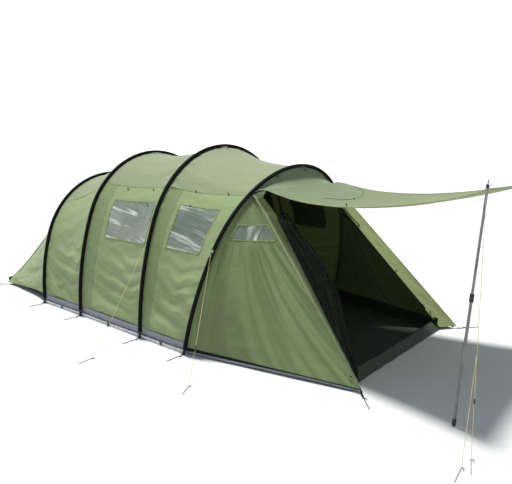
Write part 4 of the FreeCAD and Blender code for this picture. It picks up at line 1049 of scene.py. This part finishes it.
sections = []
for (y, *shape_a), (y_next, *shape_b) in zip(INNER, INNER[1:]):
    first_line, next_line = inner_section(*shape_a), inner_section(*shape_b)
    for share in np.linspace(0, 1, 14, endpoint=False):
        sections.append((mix(y, y_next, share), mix(first_line, next_line, share)))
sections.append((INNER[-1][0], inner_section(*INNER[-1][1:])))
lining = np.array([whole([(-x, y, z) for x, z in outline]) for y, outline in sections]).transpose(1, 0, 2)
wave = 0.010 * ripple(lining[..., 0] + lining[..., 2], lining[..., 1], 111, low=0.5, high=1.8)
inner_cloth = lining + stack(-np.sign(lining[..., 0]) * np.abs(wave), 0 * wave, -np.abs(wave) * 0.6)
inner_cloth[..., 2] = np.maximum(inner_cloth[..., 2], 0.006)
uv = lining[..., 1:].copy()
sides = no_cells(lining)
sides[:16] = sides[-16:] = True
for part, flat, keep in (("side_walls", (2.6, 2.4), sides), ("roof", (2.6, 2.7), ~sides)):
    sheet("inner_%s_cloth" % part, inner_cloth, uv, "inner", flat, ["inner_" + part],
          keep, area=round(cell_area(lining, keep), 2))
FRONT_Y = 1.106
INNER_DOOR = (0.160, 1.350)  # sill and head of its doorway
DOOR_SIDE = 0.420
levels = steps((0.006, 5), (INNER_DOOR[0], 24), (1.180, 6), (INNER_DOOR[1], 8), 1.588)
face = []
for level in levels:
    wide_here = np.interp(level, (0.006, 1.180, 1.590), (1.230, 1.034, 0.430))
    xs = steps((-wide_here, 10), (-DOOR_SIDE, 14), (DOOR_SIDE, 10), wide_here)
    face.append([(x, FRONT_Y, level) for x in xs])
face = np.array(face)
keep = ~no_cells(face)
keep[cells_between(levels, *INNER_DOOR), 10:24] = False
ripples = 0.012 * ripple(face[..., 0] * 2, face[..., 2] * 0.6, 115, low=0.6, high=1.8)
inner_face = face + stack(0 * ripples, -np.abs(ripples), 0 * ripples)
sheet("inner_front_cloth", inner_face, face[..., ::2].copy(), "inner",
      (2.5, 1.6), ["inner_front_wall"], keep, area=round(cell_area(face, keep), 2))
stations, half_widths = list(zip(*INNER))[:2]
tray = np.array([[(x, y, 0.003) for x in np.linspace(-1, 1, 21) * np.interp(y, stations, half_widths)]
                 for y in np.linspace(1.112, 3.158, 31)])
tray[..., 2] += 0.003 * (1 + ripple(tray[..., 0], tray[..., 1], 117)) * 0.4
sheet("inner_floor_cloth", tray, tray[..., :2].copy(), "floor_sheet", (2.48, 2.05),
      ["inner_floor"], area=round(cell_area(tray), 2))
turns = np.linspace(0, 4 * math.tau, 97)
radius = np.linspace(0.011, 0.037, 97)
roll = np.array([[(-0.464 + r * math.cos(t), 1.064 + r * math.sin(t), z) for t, r in zip(turns, radius)]
                 for z in np.linspace(0.18, 1.31, 16)])
roll[..., 0] += 0.004 * np.sin(roll[..., 2] * 9)
sheet("inner_door_roll", roll, roll[..., :2].copy(), "inner", (0.62, 1.13),
      levels=0)

# ---- gathered mesh door
PLEATS = 14
curtain = []
for share in np.linspace(0.05, 0.985, 41):
    base = mirrored(between(JAMB, share), -1)
    drawn = mix(0.20, 0.50, smooth(0.0, 0.55, share)) * mix(1.0, 0.62, smooth(0.55, 1.0, share))
    row = []
    for c in even(PLEATS * 8 + 1):
        sway = 0.016 * math.sin(5 * share + 6 * c) * c
        fold_depth = 0.031 * math.sin(math.tau * PLEATS * c + 0.9 * math.sin(5 * share)) \
            * (0.75 + 0.25 * math.sin(9 * c))
        row.append(base + (drawn * c ** 0.9 + sway - 0.02, 0.060 + fold_depth + 0.04 * c, 0.0))
    curtain.append(row)
curtain = np.array(curtain)
uv = stack(even(curtain.shape[1]), even(curtain.shape[0])[:, None])
sheet("mesh_door_curtain", curtain, uv, "mesh", (1.35, 1.72), ["rolled_doors"],
      levels=0)

# ---- groundsheet and sill
PLAN = ((-2.538, -0.825, -0.085, 1.080), (0.925, 1.385, 1.350, 1.280))
TUB_EDGE = np.array([0.96, 0.98, 0.99, 0.996, 1.0])
ACROSS_TUB = np.concatenate([-TUB_EDGE[::-1], np.linspace(-0.92, 0.92, 29), TUB_EDGE])
ground = np.array([[(x, y, 0.003) for x in ACROSS_TUB * np.interp(y, *PLAN)]
                   for y in steps((-2.538, 22), (-0.825, 10), (-0.085, 14), 1.080)])
waves = ripple(ground[..., 0], ground[..., 1], 121, low=0.5, high=2.2)
ground[..., 2] += 0.0035 * np.maximum(waves, -0.4) + 0.0015
# the edge is turned up against the walls to make a tub
ground[..., 2] += np.interp(np.abs(ACROSS_TUB), (0.95, 0.98, 0.99, 1.0), (0.0, 0.018, 0.055, 0.135))[None]
sheet("groundsheet_cloth", ground, ground[..., :2].copy(), "floor_sheet", (3.0, 3.63),
      ["groundsheet"], area=round(cell_area(ground), 2))
rise = unit((0, JAMB_WAIST[1] - JAMB_FOOT[1], JAMB_WAIST[2] - FOOT)) * 0.120
sill = []
for share in even(9):
    inset = mix(0.014, 0.050, share)
    start = np.array((-(JAMB_FOOT[0] - inset), JAMB_FOOT[1] - 0.002, 0.006)) + rise * share
    sill.append([start + np.array((-2 * start[0] * c, 0, -0.012 * share * hump(c)))
                 for c in even(41)])
sill = np.array(sill)
sill[..., 1] += 0.004 * ripple(sill[..., 0] * 2, sill[..., 2] * 3, 125)
sheet("sill_cloth", sill, sill[..., ::2].copy(), "sill",
      (1.87, 0.13), ["door_sill"])
place(strap("sill_binding", sill[-1], (0, -1, 0.4), *TAPE["door"]), "black_tape")

# ---- mud valances
skirts, skirt_areas = [], []


def skirt(start, end, bottom, top, side, seed):
    """Hanging strip of coated cloth along the ground between two plan points."""
    along = even(49)
    direction = np.array(end) - np.array(start)
    outward = unit((-direction[1], direction[0]))
    outward = outward * (1 if outward[0] * side > 0 or side == 0 else -1)
    wave = 0.005 * ripple(along * np.linalg.norm(direction) * 3, 0 * along, seed) - 0.006
    fall = 1 - even(5)[:, None]
    x, y = [begin + way * along + out * wave * fall for begin, way, out in zip(start, direction, outward)]
    points = stack(x, y, mix(top, bottom, fall))
    skirts.append(grid_object("skirt", points, stack(along, points[..., 2])))
    skirt_areas.append(cell_area(points))


for seed, (rear_number, front_number) in enumerate(BAYS.values()):
    for side in SIDES.values():
        start, end = (ARCHES[n].at(side, 0.02)[:2] for n in (rear_number, front_number))
        skirt(start, end, FOOT, 0.116, side, 131 + seed)
for side in SIDES.values():
    skirt(ARCHES[4].at(side, 0.02)[:2], (side * (FRONT[0] - 0.003), FRONT[1] + 0.02), 0.012, 0.036, side, 141)
skirt((-1.075, 3.452), (1.075, 3.452), FOOT, 0.112, 0, 143)
valance = join("mud_valance_cloth", skirts)
place(valance, "mud", ["mud_valances"])


# ---- ground straps
ribbons, corners = [], []
for rear_number, front_number in BAYS.values():
    for side in SIDES.values():
        start, end = (ARCHES[n].at(side, 0.02) + (side * 0.0165, 0, 0) for n in (rear_number, front_number))
        share = np.linspace(0.022, 0.978, 33)[:, None]
        line = start + (end - start) * share
        line[:, 2] = 0.0275 - 0.004 * np.sin(math.pi * share[:, 0])
        ribbons.append(strap("ribbon", line, (side, 0, 0), *TAPE["ground"], 0))
place(join("ground_straps", ribbons), "grey_tape", ["webbing_straps"])
for side in SIDES.values():
    for (half_width, station), towards in ((FRONT, -1), (REAR, 1)):
        direction = unit((side, towards * 0.9, 0))
        route = ((-0.012, 0.030), (0.002, 0.016), (0.014, 0.005), (0.030, 0.0035), (0.055, 0.003),
                 (0.082, 0.003))
        line = [np.array((side * half_width, station, 0)) + direction * out + (0, 0, z) for out, z in route]
        corners.append(strap("corner", line, (0, 0, 1), *TAPE["corner"]))
        across = np.cross((0, 0, 1), direction)
        ring = [line[-1] + direction * (0.010 + 0.009 * math.cos(a)) + across * 0.011 * math.sin(a)
                for a in np.linspace(0, math.tau, 21)]
        corners.append(tube("ring", ring, 0.0021, 8, 0, (0.01, 0.0, 1)))
place(join("corner_straps", corners), "black_tape")

# ---- toggles, ties and loops
BAR_REACH, BAR_RADIUS, BAR_LIFT = 0.016, 0.0048, 0.014


def toggle(center, direction, outward):
    """Moulded toggle bar with a waist, on an elastic loop that runs to the cloth."""
    direction = unit(direction)
    reach_out = np.linspace(-BAR_REACH, BAR_REACH, 13)
    waist = 1 - 0.28 * np.exp(-(reach_out / 0.0035) ** 2)
    radii = BAR_RADIUS * np.sqrt(np.clip(1 - (reach_out / 0.0165) ** 4, 0.02, 1)) * waist
    path = np.asarray(center) + direction * reach_out[:, None]
    bar = tube("bar", path, radii, 12, 1, outward)
    angle = np.linspace(0, math.tau, 17)
    sideways = np.cross(direction, outward)
    loop = [np.asarray(center) + outward * (0.0105 * math.cos(a) - 0.0075) + sideways * 0.0062 * math.sin(a)
            for a in angle]
    return bar, tube("loop", loop, 0.0013, 6, 0, direction)


bars, loops, patches = [], [], []


def add_toggle(spot, outward, direction):
    outward, direction = unit(outward), unit(direction)
    bar, loop = toggle(np.asarray(spot) + outward * BAR_LIFT, direction, outward)
    bars.append(bar)
    loops.append(loop)
    base = np.asarray(spot) + outward * 0.0012
    ends = [base - direction * 0.011, base, base + direction * 0.011]
    patches.append(strap("patch", ends, outward, *TAPE["patch"], 0))


for side in SIDES.values():
    for bay, share, height in (("mid", 0.37, 1.582), ("mid", 0.79, 1.586), ("mid", 0.8, 1.44),
                               ("front", 0.34, 1.588), ("front", 0.73, 1.57), ("front", 0.38, 1.44)):
        spot, outward = wall_spot(bay, side, share, height)
        add_toggle(spot, outward, (0, 0.25, 1))
    along = mirrored(JAMB_RUN, side)
    for share in (0.12, 0.45, 0.82):
        spot = strip_point(side, share, 0.045, 0.0)
        add_toggle(spot, strip_point(side, share, 0.045, 1.0) - spot, along)
porch_left, porch_normals, _ = SURFACES["porch_left"]
for row, col, direction in ((2, -3, (0, -0.8, 0.5)), (0, -3, (0, -1, 0.1))):
    add_toggle(porch_left[row, col], porch_normals[row, col], direction)
loop_spots = ((0.99, 0.004, 0.003), (0.95, 0.018, 0.016), (0.90, 0.036, 0.020), (0.85, 0.058, 0.014),
              (0.82, 0.080, 0.003))
loop_route = [strip_point(1, *spot) for spot in loop_spots]
door_loop = strap("doorway_strap_loop", loop_route, (0.0, -1.0, 0.35), *TAPE["loop"])
place(door_loop, "black_tape")
for x in (-0.40, 0.08):
    header_points, header_normals, _ = SURFACES["header"]
    row = int(np.abs(header_points[:, 1, 0] - x).argmin())
    add_toggle(header_points[row, 2], header_normals[row, 2], (0.1, -0.3, -1))
awning_row = [int(round(0.5 * (1 + w) * (ACROSS - 1))) for w in (-0.42, -0.28, -0.14, 0.0)]
awning_col = [int(round(r * (LONG - 1))) for r in (0.19, 0.21, 0.23, 0.245)]
tie_route = [awning[r, c] + (0, 0, 0.006) for r, c in zip(awning_row, awning_col)]
tie_toggle = toggle(tie_route[-1] + (0.012, -0.012, 0.006), (0.7, -0.5, 0.1), np.array((0.0, 0.0, 1.0)))
tie = join("awning_tie", [tube("tie", tie_route, 0.0022, 8, 1), *tie_toggle])
place(tie, "plastic", body="awning")
edge_spot = awning[0, int(round(0.434 * (LONG - 1)))]
edge_toggle = toggle(edge_spot + (0.030, 0, 0.016), (0.1, 0.3, 1), np.array((-1.0, 0.0, 0.0)))
place(join("awning_edge_toggle", edge_toggle), "plastic", body="awning")
place(join("toggle_bars", bars), "plastic", ["tie_toggles"])
place(join("toggle_loops", loops), "black_tape")
place(join("toggle_patches", patches), "green_tape")

# ---- guy lines
GUY_DIAMETER = 0.0035
GUYS = {  # length, fittings on the cord, whether it falls slack with the prop, route from tent to ground
    "rear": (1.315, ("guy_runner_rear",), False, [
        (-1.2737, -0.1012, 1.0418), (-1.55, -0.132, 0.675), (-1.84, -0.165, 0.302), (-2.078, -0.192, 0.005)]),
    "front": (1.287, ("guy_runner_front",), False, [
        (-1.2634, -1.0661, 1.0426), (-1.49, -1.187, 0.684), (-1.73, -1.314, 0.313), (-1.936, -1.423, 0.005)]),
    "prop": (1.840, ("guy_runner_prop",), True, [
        (-1.1936, -3.6315, 1.8033), (-1.31, -3.672, 1.226), (-1.44, -3.717, 0.593), (-1.563, -3.760, 0.005)]),
    "branch": (0.744, (), True, [
        (-1.4234, -3.7087, 0.6934), (-1.515, -3.721, 0.464), (-1.61, -3.733, 0.23), (-1.704, -3.745, 0.005)]),
}


def curve_mesh(item):
    """Mesh of a curve as it stands: its bare line, or the tube round it."""
    bpy.context.view_layer.update()
    return bpy.data.meshes.new_from_object(item.evaluated_get(bpy.context.evaluated_depsgraph_get()))


for name, (length, fittings, falls_slack, route) in GUYS.items():
    data = bpy.data.curves.new("guy_" + name, "CURVE")
    data.dimensions = "3D"
    spline = data.splines.new("NURBS")
    spline.points.add(len(route) - 1)
    for point, spot in zip(spline.points, route):
        point.co = (*spot, 1)
    spline.order_u = 3
    spline.use_endpoint_u = True
    spline.resolution_u = 12
    data.bevel_resolution = 3
    data.use_fill_caps = True
    item = add_object("guy_cord_" + name, data)
    centre_line = None
    if falls_slack:
        # these fall slack as the prop lies down, so each becomes a mesh round its own centreline
        centre_line = [tuple(vertex.co) for vertex in curve_mesh(item).vertices]
        data.bevel_depth = GUY_DIAMETER / 2
        skin = curve_mesh(item)
        bpy.data.objects.remove(item)
        item = finish_mesh("guy_cord_" + name, skin)
    data.bevel_depth = GUY_DIAMETER / 2
    place(item, "cord", ["guy_line_" + name])
    if falls_slack:
        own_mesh(item)

# ---- fittings kept from the frame
KEPT = {
    "rod": ["hoop_pole_%d" % number for number in HOOPS],
    "zinc": ["pole_ferrules", "guy_pegs_and_ring"],
    "black_tape": ["hoop_sleeves", "door_zip_tapes", "guy_loops"],
    "plastic": ["hoop_feet", "strap_buckles", "guy_runner_rear", "guy_runner_front", "guy_runner_prop"],
    "dark_metal": ["ground_pegs"],
    "prop": [],
}
for side_name in SIDES:
    KEPT["plastic"] += ["prop_head_and_tab_" + side_name, "prop_foot_and_collar_" + side_name]
    KEPT["dark_metal"] += ["door_zip_slider_" + side_name]
    KEPT["prop"] += ["prop_lower_tube_" + side_name, "prop_upper_tube_" + side_name]
for material, names in KEPT.items():
    for name in names:
        paint(NODES[name], material)

# ---- camera and light
camera_data = bpy.data.cameras.new("camera")
SCENE.camera = add_object("camera", camera_data)
STAND = (-5.167, -4.849, 2.093)
AZIMUTH, ELEVATION, ROLL = math.radians(50.6), math.radians(9.74), math.radians(-0.16)
camera_data.lens = 39.4
camera_data.sensor_width = 36
camera_data.clip_end = 200
forward = Vector((math.sin(AZIMUTH) * math.cos(ELEVATION), math.cos(AZIMUTH) * math.cos(ELEVATION),
                  -math.sin(ELEVATION)))
turn = forward.to_track_quat("-Z", "Y").to_matrix() @ Matrix.Rotation(ROLL, 3, "Z")
SCENE.camera.matrix_world = Matrix.Translation(STAND) @ turn.to_4x4()

world = bpy.data.worlds.new("studio")
SCENE.world = world
world.use_nodes = True
sky = Nodes(world.node_tree)
# a white sweep behind and to the left of the tent, a dimmer room in front and overhead
direction = sky.add("ShaderNodeTexCoord").outputs["Generated"]
height = sky.split(direction)[2]
sweep = sky.add("ShaderNodeVectorMath", {0: direction, 1: (0.326, 0.946, 0.0)}, operation="DOT_PRODUCT")
room = sky.blend(sky.span(sweep.outputs["Value"], 0.09, 0.48), (0.52, 0.54, 0.57, 1), (1.7, 1.7, 1.68, 1))
dome = sky.blend(sky.span(height, 0.26, 0.52), room, (0.25, 0.29, 0.35, 1))
sky.tree.links.new(dome, sky.tree.nodes["Background"].inputs[0])
SCENE.view_settings.view_transform = "Standard"

lamp_data = bpy.data.lights.new("key", "SUN")
lamp_data.energy, lamp_data.angle, lamp_data.color = 4.4, math.radians(8), (1.0, 0.99, 0.955)
lamp = add_object("key", lamp_data)
lamp.rotation_mode = "QUATERNION"
lamp.rotation_quaternion = Vector((-0.10, -0.13, -1.0)).to_track_quat("-Z", "Y")

floor_mesh = bpy.data.meshes.new("floor")
corners = [(x, y, 0) for x, y in ((-60, -60), (60, -60), (60, 60), (-60, 60))]
floor_mesh.from_pydata(corners, [], [(0, 1, 2, 3)])
floor = add_object("floor", floor_mesh)
floor.location.z = -0.0015
ground = Shader("pale floor")
speckle = ground.span(ground.noise(40.0, 3.0), 0.3, 0.7)
tone = ground.blend(speckle, rgba((0.62, 0.62, 0.625)), rgba((0.64, 0.64, 0.645)))
floor_mesh.materials.append(ground.finish(ground.surface(tone, 0.9, Specular_IOR_Level=0.1)))
floor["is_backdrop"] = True

low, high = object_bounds()
